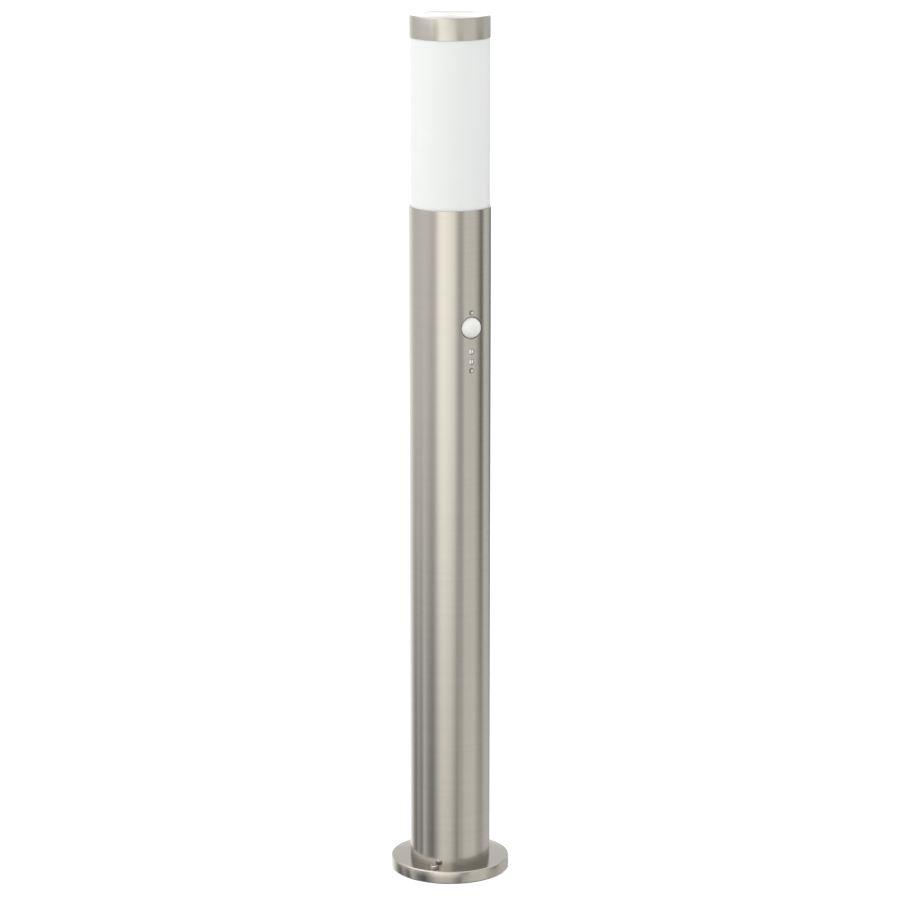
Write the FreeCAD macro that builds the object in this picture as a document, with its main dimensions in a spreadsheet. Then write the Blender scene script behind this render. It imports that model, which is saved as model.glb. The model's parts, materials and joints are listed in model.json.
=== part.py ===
"""Bollard light with a motion sensor: a stainless pole on a round base, under an opal head.

Row frame: +Z up, origin on the ground at the centre of the base, the sensor facing -Y.
Lengths are millimetres and angles are degrees. Every driving size is a cell of the sheet
"dims"; DERIVED holds the sizes and levels that follow from those cells.
"""
import FreeCAD, Part
import math
import os
import re

import Sketcher
from FreeCAD import Placement, Rotation, Vector

DIMENSIONS = (
    # Pole and base
    ("pole_diameter", 76, "outside of the pole tube"),
    ("pole_wall", 1, "wall of the pole tube"),
    ("pole_length", 634.5, "pole tube, foot to rim"),
    ("gasket_thickness", 1, "rubber ring under the base"),
    ("gasket_inset", 1.5, "ring's edge inside the flange's edge"),
    ("gasket_bore", 50, "opening of the rubber ring"),
    ("plate_thickness", 2.5, "sheet of the mounting plate"),
    ("plate_inset", 4, "plate's edge inside the flange's edge"),
    ("pan_diameter", 47, "top of the plate's raised middle"),
    ("pan_raise", 7, "how far the middle stands up"),
    ("pan_slope", 2, "run of the pressed step"),
    ("anchor_circle", 62, "pitch circle of the ground bolts"),
    ("anchor_hole", 6.5, "ground bolt hole"),
    ("anchor_count", 3, "ground bolts"),
    ("anchor_angle", 30, "first ground bolt, from +X"),
    ("anchor_gasket_hole", 9, "hole in the rubber ring at each ground bolt"),
    ("flange_reach", 18, "flange past the pole"),
    ("flange_wall", 1.2, "sheet of the base flange"),
    ("flange_top", 12, "top of the flange above the ground"),
    ("flange_edge", 1.1, "rounding of the flange's rim"),
    ("flange_screw_offset", 8.5, "flange screws past the pole"),
    ("flange_screw_angle", 219.6, "front flange screw, from +X"),
    ("flange_screw_hole", 5.6, "hole in the flange"),
    ("standoff_flats", 8, "threaded standoff, across flats"),
    # Screws: shank radius, head radius, head height and length
    ("flange_screw_shank", 2.5, "M5"),
    ("flange_screw_head", 4.9, ""),
    ("flange_screw_dome", 2.9, ""),
    ("flange_screw_reach", 8, ""),
    ("sensor_screw_shank", 1.5, "M3"),
    ("sensor_screw_head", 2.4, ""),
    ("sensor_screw_dome", 1.3, ""),
    ("sensor_screw_reach", 9, ""),
    ("fixing_screw_shank", 1.45, "M3, holds the terminal block"),
    ("fixing_screw_head", 2.7, ""),
    ("fixing_screw_dome", 1.6, ""),
    ("fixing_screw_reach", 15.5, ""),
    ("earth_screw_shank", 2, "M4"),
    ("earth_screw_head", 3.8, ""),
    ("earth_screw_dome", 2.2, ""),
    ("earth_screw_reach", 6, ""),
    ("carrier_screw_shank", 2, "M4"),
    ("carrier_screw_head", 3.8, ""),
    ("carrier_screw_dome", 2.2, ""),
    ("carrier_screw_reach", 10, ""),
    ("head_fullness", 0.15, "flatter than a ball through the rim, share of the head's height"),
    ("recess_width", 0.28, "arm of a cross recess, share of the head's radius"),
    ("recess_length", 1.1, "cross recess end to end, share of the head's radius"),
    ("recess_depth", 0.55, "cross recess, share of the head's height"),
    # Cable gland, M16
    ("gland_thread", 16, "thread of the gland"),
    ("gland_hex", 20, "gland, across flats"),
    ("gland_bore", 11, "way through the gland body"),
    ("gland_shoulder", 4, "hexagon of the gland body"),
    ("gland_collar", 8, "threaded collar above the hexagon"),
    ("gland_collar_diameter", 17, "outside of that collar"),
    ("gland_seal_diameter", 13.6, "rubber seal"),
    ("gland_tail", 5, "thread below the pan"),
    ("cable_diameter", 9, "supply cable that the seal grips"),
    ("seal_stand", 1, "seal above the collar"),
    ("gland_nut_height", 12, "compression nut"),
    ("gland_nut_gap", 0.5, "compression nut above the hexagon"),
    ("gland_nut_round", 14.4, "ball that rounds the nut's corners"),
    ("gland_nut_waist", 4.2, "widest level of that ball, over the nut's foot"),
    ("gland_mouth_play", 0.5, "nut's mouth round the cable"),
    ("gland_nut_roof", 2.4, "top of the compression nut"),
    ("locknut_height", 3.5, "nut under the pan"),
    # Terminal block on its bracket
    ("bracket_width", 20, "bracket"),
    ("bracket_sheet", 1.5, "bracket"),
    ("bracket_face", 13.6, "front of the upright, behind the axis"),
    ("bracket_foot", 7.2, "depth of the foot"),
    ("bracket_height", 70, "upright"),
    ("block_pole_pitch", 10, "one pole of the terminal block"),
    ("block_depth", 15, "terminal block, front to back"),
    ("block_height", 18, "terminal block"),
    ("block_rise", 36, "block above the plate's middle"),
    ("clamp_web", 0.55, "plastic between a clamp and a fixing screw"),
    ("clamp_bore", 2, "wire way in the clamp"),
    ("clamp_length", 15, "brass clamp"),
    ("clamp_seat", 0.05, "clamp inside its hole"),
    ("clamp_screw_radius", 1.4, "clamp screw"),
    ("clamp_screw_length", 4.4, "clamp screw"),
    ("clamp_slot_width", 0.5, "slot of a clamp screw"),
    ("clamp_slot_depth", 0.7, "slot of a clamp screw"),
    ("clamp_screw_pitch", 8, "two clamp screws in a pole"),
    ("screw_access_radius", 2.1, "well over a clamp screw"),
    ("earth_rise", 8, "earth screw above the block"),
    ("lug_radius", 4, "ring terminal"),
    ("lug_sheet", 0.8, "ring terminal"),
    ("lug_barrel_radius", 2, "crimp barrel"),
    ("lug_barrel_length", 6, "crimp barrel"),
    # Wires
    ("wire_diameter", 2.6, "single-core wire"),
    ("wire_gap", 0.2, "between two wires"),
    ("wire_bend", 18, "longest run that a bend takes up"),
    ("wire_rise", 26, "straight run over the block and under the sensor"),
    ("wire_lead", 35, "straight run before the first tie and after the last"),
    ("wire_drop", 6, "straight run over the sensor and under the nipple"),
    ("tie_base_width", 12, "wire tie base"),
    ("tie_base_height", 12, "wire tie base"),
    ("tie_base_depth", 4, "base, wall to front"),
    ("tie_base_sheet", 1.7, "glued plate of the base"),
    ("tie_bridge_sheet", 1.1, "bridge that the tie goes behind"),
    ("tie_thickness", 0.9, "strap of the tie"),
    ("tie_width", 2.5, "strap of the tie"),
    ("tie_lock_width", 5, "head of the tie"),
    ("tie_lock_height", 4, "head of the tie"),
    ("tie_lock_depth", 2.5, "head of the tie"),
    ("tie_slot", 3.8, "slot that the strap goes through"),
    ("tie_gap", 0.1, "play round the strap"),
    ("tie_lowest", 160, "first tie above the ground"),
    ("tie_margin", 99.5, "last tie under the sensor housing"),
    ("tie_count", 3, "ties"),
    # Motion sensor
    ("sensor_depth", 108.5, "middle of the sensor dome under the pole's rim"),
    ("dome_radius", 9.7, "sensor dome"),
    ("dome_wall", 0.8, "sensor dome"),
    ("dome_reach", 35.5, "dome's centre from the axis"),
    ("dome_flange", 1.2, "dome's flange past its neck"),
    ("dome_flange_sheet", 1, "dome's flange"),
    ("dome_clearance", 0.2, "round the dome's neck"),
    ("dome_window_gap", 1, "hole in the pole round the dome"),
    ("sensor_screw_gap", 4.3, "upper screw over the dome"),
    ("sensor_screw_drop", 40, "lower screw under the dome's middle"),
    ("time_trimmer_drop", 22.3, "time trimmer under the dome's middle"),
    ("lux_trimmer_drop", 31.8, "daylight trimmer under the dome's middle"),
    ("trimmer_hole", 5.6, "hole in the pole at a trimmer"),
    ("trimmer_knob_radius", 2.5, "trimmer's knob"),
    ("trimmer_stem_radius", 1.6, "trimmer's stem"),
    ("trimmer_stem_length", 2.5, "trimmer's stem"),
    ("trimmer_recess", 0.4, "knob under the pole's surface"),
    ("trimmer_slot_width", 0.9, "screwdriver slot"),
    ("trimmer_slot_depth", 1.1, "screwdriver slot"),
    ("trimmer_base_side", 8, "body of a trimmer"),
    ("trimmer_base_depth", 5, "body of a trimmer"),
    ("foam_thickness", 1, "foam between housing and pole"),
    ("housing_width", 34, "sensor housing"),
    ("housing_rise", 24, "housing above the dome's middle"),
    ("housing_drop", 50, "housing under the dome's middle"),
    ("housing_back", 5, "open back of the housing from the axis"),
    ("housing_wall", 2, "sensor housing"),
    ("nose_wall", 1.4, "ring round the dome's flange"),
    ("nose_play", 0.1, "that ring round the flange"),
    ("nose_seat", 31.2, "dome's flange seat from the axis"),
    ("boss_radius", 3.2, "screw boss in the housing"),
    ("cover_sheet", 2, "back cover"),
    ("cover_lip", 2, "lip of the back cover"),
    ("cover_play", 0.2, "round that lip"),
    ("board_front", 27, "front of the circuit board from the axis"),
    ("board_sheet", 1.6, "circuit board"),
    ("board_width", 29, "circuit board"),
    ("board_edge", 1, "board inside the housing's cavity, top and bottom"),
    ("detector_radius", 4.6, "heat detector's can"),
    ("detector_height", 4.2, "heat detector's can"),
    ("detector_rim", 0.3, "wider than the can"),
    ("detector_rim_sheet", 0.7, "base of the can"),
    ("detector_window", 3.2, "window of the can"),
    ("window_depth", 0.3, "window of the can"),
    ("daylight_radius", 1.4, "daylight detector"),
    ("daylight_drop", 7.2, "daylight detector under the dome's middle"),
    ("daylight_height", 2.2, "daylight detector, under its round tip"),
    ("part_offset", 1, "relay and film capacitor from the board's middle"),
    ("relay_width", 10, "relay"),
    ("relay_height", 18, "relay"),
    ("relay_depth", 14.5, "relay"),
    ("relay_rise", -16, "relay's foot from the dome's middle"),
    ("film_width", 8, "film capacitor"),
    ("film_height", 18, "film capacitor"),
    ("film_depth", 13, "film capacitor"),
    ("reservoir_radius", 4, "reservoir capacitor"),
    ("reservoir_length", 12, "reservoir capacitor"),
    ("reservoir_drop", 26, "reservoir capacitor under the dome's middle"),
    ("board_terminal_width", 20, "terminals on the board"),
    ("board_terminal_height", 8, "terminals on the board"),
    ("board_terminal_depth", 10, "terminals on the board"),
    ("board_terminal_gap", 0.6, "terminals from the board's ends"),
    ("terminal_wire_offset", 4, "wires either side of the middle"),
    ("terminal_wire_depth", 4.5, "wires behind the board"),
    ("wire_hole_radius", 1.7, "hole for a wire"),
    # Lamp carrier and lamp holder
    ("diffuser_sunk", 30, "diffuser below the pole's rim"),
    ("carrier_floor", 4, "floor of the carrier"),
    ("carrier_shoulder", 4, "shoulder under the diffuser, over the floor"),
    ("carrier_clearance", 0.1, "carrier in the pole"),
    ("spigot_clearance", 0.7, "spigot in the diffuser"),
    ("spigot_height", 26, "spigot over the shoulder"),
    ("spigot_wall", 5.5, "spigot"),
    ("ring_section", 2.8, "seal ring"),
    ("ring_clearance", 0.3, "seal ring to the diffuser"),
    ("ring_groove", 3.2, "groove of a seal ring"),
    ("ring_first", 7, "first groove over the shoulder"),
    ("ring_pitch", 9, "second groove over the first"),
    ("support_sheet", 2, "steel support"),
    ("support_width", 20, "steel support"),
    ("support_leg", 14, "leg of the steel support"),
    ("carrier_screw_offset", 24, "carrier screws from the axis"),
    ("nipple_radius", 5, "M10 nipple"),
    ("nipple_bore", 7, "way through the nipple"),
    ("nipple_above", 6, "nipple over the carrier's floor"),
    ("nipple_below", 6, "nipple under the support"),
    ("nipple_nut_flats", 14, "nipple's nut"),
    ("nipple_nut_height", 3, "nipple's nut"),
    ("holder_radius", 19, "base of the lamp holder"),
    ("holder_wall", 2, "base of the lamp holder"),
    ("holder_floor", 4, "base of the lamp holder"),
    ("holder_base_height", 21, "base of the lamp holder"),
    ("insert_lift", 11, "insert over the carrier's floor"),
    ("insert_height", 8, "insert"),
    ("insert_play", 0.1, "insert in the base"),
    ("skirt_radius", 20, "outside of the holder's skirt"),
    ("skirt_height", 33, "skirt"),
    ("skirt_lift", 18.9, "skirt over the carrier's floor"),
    ("skirt_overlap", 4, "skirt over the base"),
    ("shell_radius", 14.2, "outside of the threaded shell"),
    ("shell_height", 25, "threaded shell"),
    ("shell_lift", 22, "threaded shell over the carrier's floor"),
    ("lamp_thread_play", 0.15, "lamp cap in the shell"),
    ("tongue_width", 6, "centre contact"),
    ("tongue_sheet", 0.5, "centre contact"),
    ("tongue_reach", 9, "foot of the centre contact from the axis"),
    ("tongue_foot", 4, "foot of the centre contact"),
    # Lamp
    ("lamp_lift", 24, "lamp's tip over the carrier's floor"),
    ("lamp_tip_radius", 4, "lamp's end contact, top"),
    ("lamp_tip_end", 3.2, "lamp's end contact, foot"),
    ("lamp_tip_height", 1.5, "lamp's end contact"),
    ("lamp_glass_height", 4, "black glass of the lamp's end"),
    ("lamp_glass_radius", 9, "black glass of the lamp's end"),
    ("lamp_thread_core", 12.1, "root radius of the E27 thread"),
    ("lamp_thread_round", 1, "rounding of the E27 thread"),
    ("lamp_thread_pitch", 3.63, "E27 thread"),
    ("lamp_thread_turns", 5, "E27 thread"),
    ("lamp_thread_start", 2.6, "first turn over the cap's edge"),
    ("lamp_cap_height", 22, "lamp's cap"),
    ("lamp_cap_sheet", 0.5, "lamp's cap"),
    ("lamp_neck_radius", 13.4, "lamp's neck over the cap"),
    ("lamp_neck_height", 5, "lamp's neck"),
    ("lamp_waist_radius", 24, "lamp's body, lower"),
    ("lamp_waist_rise", 22, "lamp's body, lower"),
    ("lamp_body_radius", 29, "lamp's body, upper"),
    ("lamp_body_height", 39, "lamp's body"),
    ("lamp_body_wall", 1.8, "lamp's body"),
    ("lamp_tail", 12, "lamp's body inside the cap"),
    ("lamp_ledge", 6, "light board's ledge under the body's rim"),
    ("globe_radius", 30, "lamp's globe"),
    ("globe_wall", 1.2, "lamp's globe"),
    ("light_board_radius", 24, "light board"),
    ("light_board_sheet", 1.5, "light board"),
    ("light_count", 9, "light-emitting chips"),
    ("light_circle", 17, "chips from the axis"),
    ("light_side", 3.5, "chip"),
    ("light_height", 0.8, "chip"),
    # Head
    ("head_gap", 0.3, "opal tube inside the pole"),
    ("diffuser_wall", 2, "opal tube"),
    ("diffuser_shown", 154.5, "opal tube between pole and cap"),
    ("cap_height", 20.6, "steel cap"),
    ("cap_sheet", 0.5, "steel cap"),
    ("cap_edge", 0.9, "rounding of the cap's rim"),
    ("cap_clearance", 0.05, "cap over the diffuser"),
    ("liner_sheet", 1.5, "white liner under the cap"),
    ("liner_inset", 0.1, "liner inside the diffuser's edge"),
    ("hook_count", 3, "liner's hooks"),
    ("hook_width", 7, "liner's hooks"),
    ("hook_sheet", 1.3, "liner's hooks"),
    ("hook_length", 12, "liner's hooks"),
    ("hook_gap", 0.2, "hook inside the diffuser"),
    ("hook_nub", 1.6, "nub of a hook"),
    ("hook_nub_height", 2, "nub of a hook"),
    ("window_play", 0.4, "window round a nub"),
    ("stud_radius", 2, "M4 stud under the cap"),
    ("stud_length", 9, "M4 stud under the cap"),
    ("cap_nut_flats", 7, "flange nut"),
    ("cap_nut_height", 4, "flange nut"),
    ("cap_nut_flange", 5, "flange nut's washer radius"),
    ("cap_nut_washer", 1, "flange nut's washer"),
)

DERIVED = {
    "pole_radius": "pole_diameter / 2",
    "bore_radius": "pole_radius - pole_wall",
    "plate_top": "gasket_thickness + plate_thickness",
    "pole_top": "plate_top + pole_length",
    "sensor_height": "pole_top - sensor_depth",
    "pan_radius": "pan_diameter / 2",
    "pan_top": "plate_top + pan_raise",
    "pan_under": "pan_top - plate_thickness",
    "flange_radius": "pole_radius + flange_reach",
    "plate_radius": "flange_radius - plate_inset",
    "flange_under": "flange_top - flange_wall",
    "flange_screw_radius": "pole_radius + flange_screw_offset",
    "block_foot": "pan_top + block_rise",
    "block_top": "block_foot + block_height",
    "block_front": "bracket_face - block_depth",
    "clamp_axis": "bracket_face - block_depth / 2",
    "clamp_radius": "block_pole_pitch / 2 - fixing_screw_shank - clamp_web",
    "earth_level": "block_top + earth_rise",
    "earth_offset": "block_pole_pitch / 2",
    "wire_radius": "wire_diameter / 2",
    "wire_spacing": "wire_diameter + wire_gap",
    "wire_wall": "tie_front - wire_radius",
    "tie_front": "bore_radius - tie_base_depth",
    "tie_pitch": "(housing_foot - tie_margin - tie_lowest) / (tie_count - 1)",
    "tie_plate_front": "bore_radius - tie_base_sheet",
    "housing_front": "bore_radius - foam_thickness",
    "housing_top": "sensor_height + housing_rise",
    "housing_foot": "sensor_height - housing_drop",
    "housing_height": "housing_rise + housing_drop",
    "cavity_width": "housing_width - 2 * housing_wall",
    "cavity_height": "housing_height - 2 * housing_wall",
    "board_back": "board_front - board_sheet",
    "board_height": "cavity_height - 2 * board_edge",
    "board_foot": "housing_foot + housing_wall + board_edge",
    "nose_bore": "dome_radius + dome_flange + nose_play",
    "lower_terminal_foot": "board_foot + board_terminal_gap",
    "upper_terminal_top": "board_foot + board_height - board_terminal_gap",
    "terminal_wire_y": "board_back - terminal_wire_depth",
    "diffuser_radius": "bore_radius - head_gap",
    "diffuser_bore": "diffuser_radius - diffuser_wall",
    "diffuser_foot": "pole_top - diffuser_sunk",
    "carrier_top": "diffuser_foot - carrier_shoulder",
    "carrier_under": "carrier_top - carrier_floor",
    "spigot_radius": "diffuser_bore - spigot_clearance",
    "ring_radius": "diffuser_bore - ring_clearance - ring_section / 2",
    "groove_radius": "ring_radius - ring_section / 2",
    "support_under": "carrier_under - support_sheet",
    "insert_top": "carrier_top + insert_lift + insert_height",
    "lamp_foot": "carrier_top + lamp_lift",
    "lamp_glass_foot": "lamp_foot + lamp_tip_height",
    "lamp_cap_foot": "lamp_glass_foot + lamp_glass_height",
    "lamp_cap_top": "lamp_cap_foot + lamp_cap_height",
    "lamp_rim": "lamp_cap_top + lamp_body_height",
    "light_board_foot": "lamp_rim - lamp_ledge",
    "globe_centre": "lamp_rim + sqrt(globe_radius ^ 2 - lamp_body_radius ^ 2)",
    "cap_foot": "pole_top + diffuser_shown",
    "cap_top": "cap_foot + cap_height",
    "cap_bore": "diffuser_radius + cap_clearance",
    "cap_radius": "cap_bore + cap_sheet",
    "diffuser_top": "cap_top - cap_sheet - liner_sheet",
    "hook_outside": "diffuser_bore - hook_gap",
    "nub_top": "diffuser_top - hook_length + 2 * hook_nub_height",
}

ALIASES = {alias for alias, _, _ in DIMENSIONS}
UPRIGHT = Rotation()
FACING_FRONT = Rotation(Vector(1, 0, 0), 90)  # a piece's own +Z turned to -Y
FACING_DOWN = Rotation(Vector(1, 0, 0), 180)

DOC = FreeCAD.newDocument("bollard_light")
SHEET = DOC.addObject("Spreadsheet::Sheet", "dims")
SUBPARTS = {}


# ---------------------------------------------------------------- sizes


def fill_sheet():
    for row, (alias, size, note) in enumerate(DIMENSIONS, start=1):
        SHEET.set(f"A{row}", note or alias.replace("_", " "))
        SHEET.set(f"B{row}", str(size))
        SHEET.setAlias(f"B{row}", alias)
    DOC.recompute()


def expand(text):
    """Text with derived sizes spelled out and every driving size pointing at its cell."""

    def swap(match):
        word = match.group(0)
        if word in DERIVED:
            return f"({expand(DERIVED[word])})"
        return f"dims.{word}" if word in ALIASES else word

    return re.sub(r"[a-z][a-z_]*", swap, str(text))


def number(text):
    return float(SHEET.evalExpression(expand(text)))


def bind(obj, **sizes):
    for name, text in sizes.items():
        obj.setExpression(name, expand(text))
    return obj


def place(obj, x="0", y="0", z="0", turn=UPRIGHT):
    obj.Placement = Placement(Vector(), turn)
    for axis, text in zip("xyz", (x, y, z)):
        if text != "0":
            obj.setExpression(f"Placement.Base.{axis}", expand(text))
    return obj


def subpart(label, obj):
    obj.Label = label
    SUBPARTS[label] = obj
    return obj


# ---------------------------------------------------------------- Part primitives


def cylinder(name, radius, height, **where):
    return place(bind(DOC.addObject("Part::Cylinder", name), Radius=radius, Height=height), **where)


def cone(name, lower, upper, height, **where):
    made = DOC.addObject("Part::Cone", name)
    return place(bind(made, Radius1=lower, Radius2=upper, Height=height), **where)


def sphere(name, radius, **where):
    return place(bind(DOC.addObject("Part::Sphere", name), Radius=radius), **where)


def torus(name, radius, section, **where):
    return place(bind(DOC.addObject("Part::Torus", name), Radius1=radius, Radius2=section), **where)


def box(name, along_x, along_y, along_z, **where):
    made = DOC.addObject("Part::Box", name)
    return place(bind(made, Length=along_x, Width=along_y, Height=along_z), **where)


def middle_box(name, along_x, along_y, along_z, y="0", z="0", x="0", turn=UPRIGHT):
    """A box centred on x, standing from y and z."""
    return box(name, along_x, along_y, along_z, x=f"{x} - ({along_x}) / 2", y=y, z=z, turn=turn)


def hexagon(name, flats, height, **where):
    made = DOC.addObject("Part::Prism", name)
    made.Polygon = 6
    return place(bind(made, Circumradius=f"({flats}) / 2 / cos(30)", Height=height), **where)


def combine(kind, name, parts, **where):
    made = DOC.addObject(kind, name)
    if kind == "Part::Cut":
        made.Base, made.Tool = parts
    elif kind == "Part::Compound":
        made.Links = list(parts)
    else:
        made.Shapes = list(parts)
    return place(made, **where)


def cut(name, base, *tools, **where):
    tool = tools[0] if len(tools) == 1 else fuse(name + "_tools", *tools)
    return combine("Part::Cut", name, (base, tool), **where)


def fuse(name, *parts, **where):
    return combine("Part::MultiFuse", name, parts, **where)


def common(name, *parts, **where):
    return combine("Part::MultiCommon", name, parts, **where)


def group(name, *parts):
    return combine("Part::Compound", name, parts)


def tube(name, radius, bore, height, **where):
    outside = cylinder(name + "_outside", radius, height)
    inside = cylinder(name + "_inside", bore, height)
    return cut(name, outside, inside, **where)


def pan_screw(name, family, x="0", y="0", z="0", turn=UPRIGHT):
    """A domed screw with a cross recess, the seat of its head at x, y, z.

    family names its driving sizes: FAMILY_shank, _head, _dome and _reach."""
    head, dome = f"{family}_head", f"{family}_dome"
    ball = f"(({head}) ^ 2 + ({dome}) ^ 2) / (2 * {dome})"
    extra = f"head_fullness * {dome}"
    shank = cylinder(name + "_shank", f"{family}_shank", f"{family}_reach", z=f"-{family}_reach")
    rounded = common(
        name + "_head",
        cylinder(name + "_blank", head, dome),
        sphere(name + "_ball", f"{ball} + {extra}", z=f"{dome} - {ball} - {extra}"),
    )
    arm, long_arm = f"{head} * recess_width", f"{head} * recess_length"
    depth = f"{dome} * recess_depth"
    level = f"{dome} - {depth}"
    across = box(
        name + "_across", long_arm, arm, dome, x=f"-({long_arm}) / 2", y=f"-({arm}) / 2", z=level
    )
    along = box(
        name + "_along", arm, long_arm, dome, x=f"-({arm}) / 2", y=f"-({long_arm}) / 2", z=level
    )
    return cut(name, fuse(name + "_solid", shank, rounded), across, along, x=x, y=y, z=z, turn=turn)


# ---------------------------------------------------------------- PartDesign bodies


def new_body(label):
    return subpart(label, DOC.addObject("PartDesign::Body", label))


def origin_part(body, role):
    return next(o for o in body.Origin.OriginFeatures if o.Role == role)


def new_sketch(body, name, role="XZ_Plane", lift=None):
    sketch = body.newObject("Sketcher::SketchObject", name)
    sketch.AttachmentSupport = (origin_part(body, role), [""])
    sketch.MapMode = "FlatFace"
    if lift:
        sketch.setExpression("AttachmentOffset.Base.z", expand(lift))
    return sketch


def pin_point(sketch, shape, end, x, y):
    """Holds one end of a shape at the expressions x and y."""
    for kind, text, axis in (("DistanceX", x, -2), ("DistanceY", y, -1)):
        if text == "0":
            sketch.addConstraint(Sketcher.Constraint("PointOnObject", shape, end, axis))
            continue
        index = sketch.addConstraint(Sketcher.Constraint(kind, -1, 1, shape, end, number(text)))
        sketch.setExpression(f"Constraints[{index}]", expand(text))


def outline(sketch, corners):
    """A closed straight-sided outline with its corners at pairs of expressions."""
    first = sketch.GeometryCount
    count = len(corners)
    spots = [Vector(number(x), number(y), 0) for x, y in corners]
    for i in range(count):
        sketch.addGeometry(Part.LineSegment(spots[i], spots[(i + 1) % count]), False)
    for i in range(count):
        following = first + (i + 1) % count
        sketch.addConstraint(Sketcher.Constraint("Coincident", first + i, 2, following, 1))
    for i, (x, y) in enumerate(corners):
        pin_point(sketch, first + i, 1, x, y)
    return sketch


def circle(sketch, radius, x="0", y="0"):
    centre = Vector(number(x), number(y), 0)
    shape = sketch.addGeometry(Part.Circle(centre, Vector(0, 0, 1), number(radius)), False)
    if x == "0" and y == "0":
        sketch.addConstraint(Sketcher.Constraint("Coincident", shape, 3, -1, 1))
    else:
        pin_point(sketch, shape, 3, x, y)
    index = sketch.addConstraint(Sketcher.Constraint("Radius", shape, number(radius)))
    sketch.setExpression(f"Constraints[{index}]", expand(radius))
    return sketch


def feature(body, kind, name, profile=None, **sizes):
    made = body.newObject("PartDesign::" + kind, name)
    if profile:
        made.Profile = profile
    bind(made, **sizes)
    return made


def revolved(label, corners):
    """A body turned about Z from corners given as radius and height."""
    body = new_body(label)
    profile = outline(new_sketch(body, label + "_profile"), corners)
    turned = feature(body, "Revolution", label + "_turned", profile)
    turned.ReferenceAxis = (profile, ["V_Axis"])
    turned.Angle = 360
    return body


def drilled(body, name, radius, x="0", y="0", role="XY_Plane", backwards=False, depth=None):
    """A round pocket through the body, or to a depth on one side of the sketch's plane."""
    before = settled_volume(body)
    profile = circle(new_sketch(body, name + "_circle", role), radius, x, y)
    pocket = feature(body, "Pocket", name, profile)
    if depth:
        bind(pocket, Length=depth)
        pocket.Reversed = backwards
    else:
        pocket.Type = 1
        pocket.Midplane = True
    if settled_volume(body) >= before:
        raise ValueError(f"{name} cuts nothing")
    return pocket


def settled_volume(body):
    DOC.recompute()
    return body.Shape.Volume


def repeated(body, pocket, count):
    """Repeats a pocket round the Z axis."""
    pattern = body.newObject("PartDesign::PolarPattern", pocket.Name + "_pattern")
    pattern.Originals = [pocket]
    pattern.Axis = (origin_part(body, "Z_Axis"), [""])
    pattern.Angle = 360
    bind(pattern, Occurrences=count)
    body.Tip = pattern
    return pattern


def rounded(body, name, radius, rims):
    """Rounds the circular edges given as pairs of radius and height."""
    DOC.recompute()
    tip = body.Tip
    chosen = []
    for rim_radius, rim_level in ((number(r), number(z)) for r, z in rims):
        for index, edge in enumerate(tip.Shape.Edges, start=1):
            curve = edge.Curve
            if (
                isinstance(curve, Part.Circle)
                and abs(curve.Radius - rim_radius) < 1e-4
                and abs(curve.Center.z - rim_level) < 1e-4
            ):
                chosen.append(f"Edge{index}")
    if not chosen:
        raise ValueError(f"{name} finds no edge")
    fillet = feature(body, "Fillet", name, Radius=radius)
    fillet.Base = (tip, chosen)
    return fillet


# ---------------------------------------------------------------- base


def make_gasket():
    body = new_body("base_gasket")
    ring = new_sketch(body, "gasket_ring", "XY_Plane")
    circle(ring, "flange_radius - gasket_inset")
    circle(ring, "gasket_bore / 2")
    feature(body, "Pad", "gasket_pad", ring, Length="gasket_thickness")
    hole = drilled(
        body,
        "gasket_bolt_hole",
        "anchor_gasket_hole / 2",
        "anchor_circle / 2 * cos(anchor_angle)",
        "anchor_circle / 2 * sin(anchor_angle)",
    )
    repeated(body, hole, "anchor_count")


def make_mounting_plate():
    hole = "gland_thread / 2"
    body = revolved(
        "mounting_plate",
        [
            (hole, "pan_under"),
            ("pan_radius - plate_thickness", "pan_under"),
            ("pan_radius - plate_thickness + pan_slope", "gasket_thickness"),
            ("plate_radius", "gasket_thickness"),
            ("plate_radius", "plate_top"),
            ("pan_radius + pan_slope", "plate_top"),
            ("pan_radius", "pan_top"),
            (hole, "pan_top"),
        ],
    )
    bolt = drilled(
        body,
        "bolt_hole",
        "anchor_hole / 2",
        "anchor_circle / 2 * cos(anchor_angle)",
        "anchor_circle / 2 * sin(anchor_angle)",
    )
    repeated(body, bolt, "anchor_count")


def make_flange():
    body = revolved(
        "base_flange",
        [
            ("pole_radius", "flange_under"),
            ("flange_radius - flange_wall", "flange_under"),
            ("flange_radius - flange_wall", "gasket_thickness"),
            ("flange_radius", "gasket_thickness"),
            ("flange_radius", "flange_top"),
            ("pole_radius", "flange_top"),
        ],
    )
    rounded(body, "flange_rim", "flange_edge", [("flange_radius", "flange_top")])
    hole = drilled(
        body,
        "flange_hole",
        "flange_screw_hole / 2",
        "flange_screw_radius * cos(flange_screw_angle)",
        "flange_screw_radius * sin(flange_screw_angle)",
    )
    repeated(body, hole, 2)


def flange_screw_spots():
    """Where the two flange screws stand, opposite each other."""
    for sign in ("", "-"):
        yield (
            f"{sign}flange_screw_radius * cos(flange_screw_angle)",
            f"{sign}flange_screw_radius * sin(flange_screw_angle)",
        )


def make_flange_fixings():
    screws, standoffs = [], []
    height = "flange_under - plate_top"
    for side, (x, y) in enumerate(flange_screw_spots()):
        screws.append(pan_screw(f"flange_screw_{side}", "flange_screw", x, y, "flange_top"))
        blank = hexagon(f"standoff_blank_{side}", "standoff_flats", height)
        thread = cylinder(f"standoff_thread_{side}", "flange_screw_shank", height)
        standoffs.append(cut(f"standoff_{side}", blank, thread, x=x, y=y, z="plate_top"))
    subpart("flange_screws", group("flange_screw_pair", *screws))
    subpart("flange_standoffs", group("standoff_pair", *standoffs))


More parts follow.
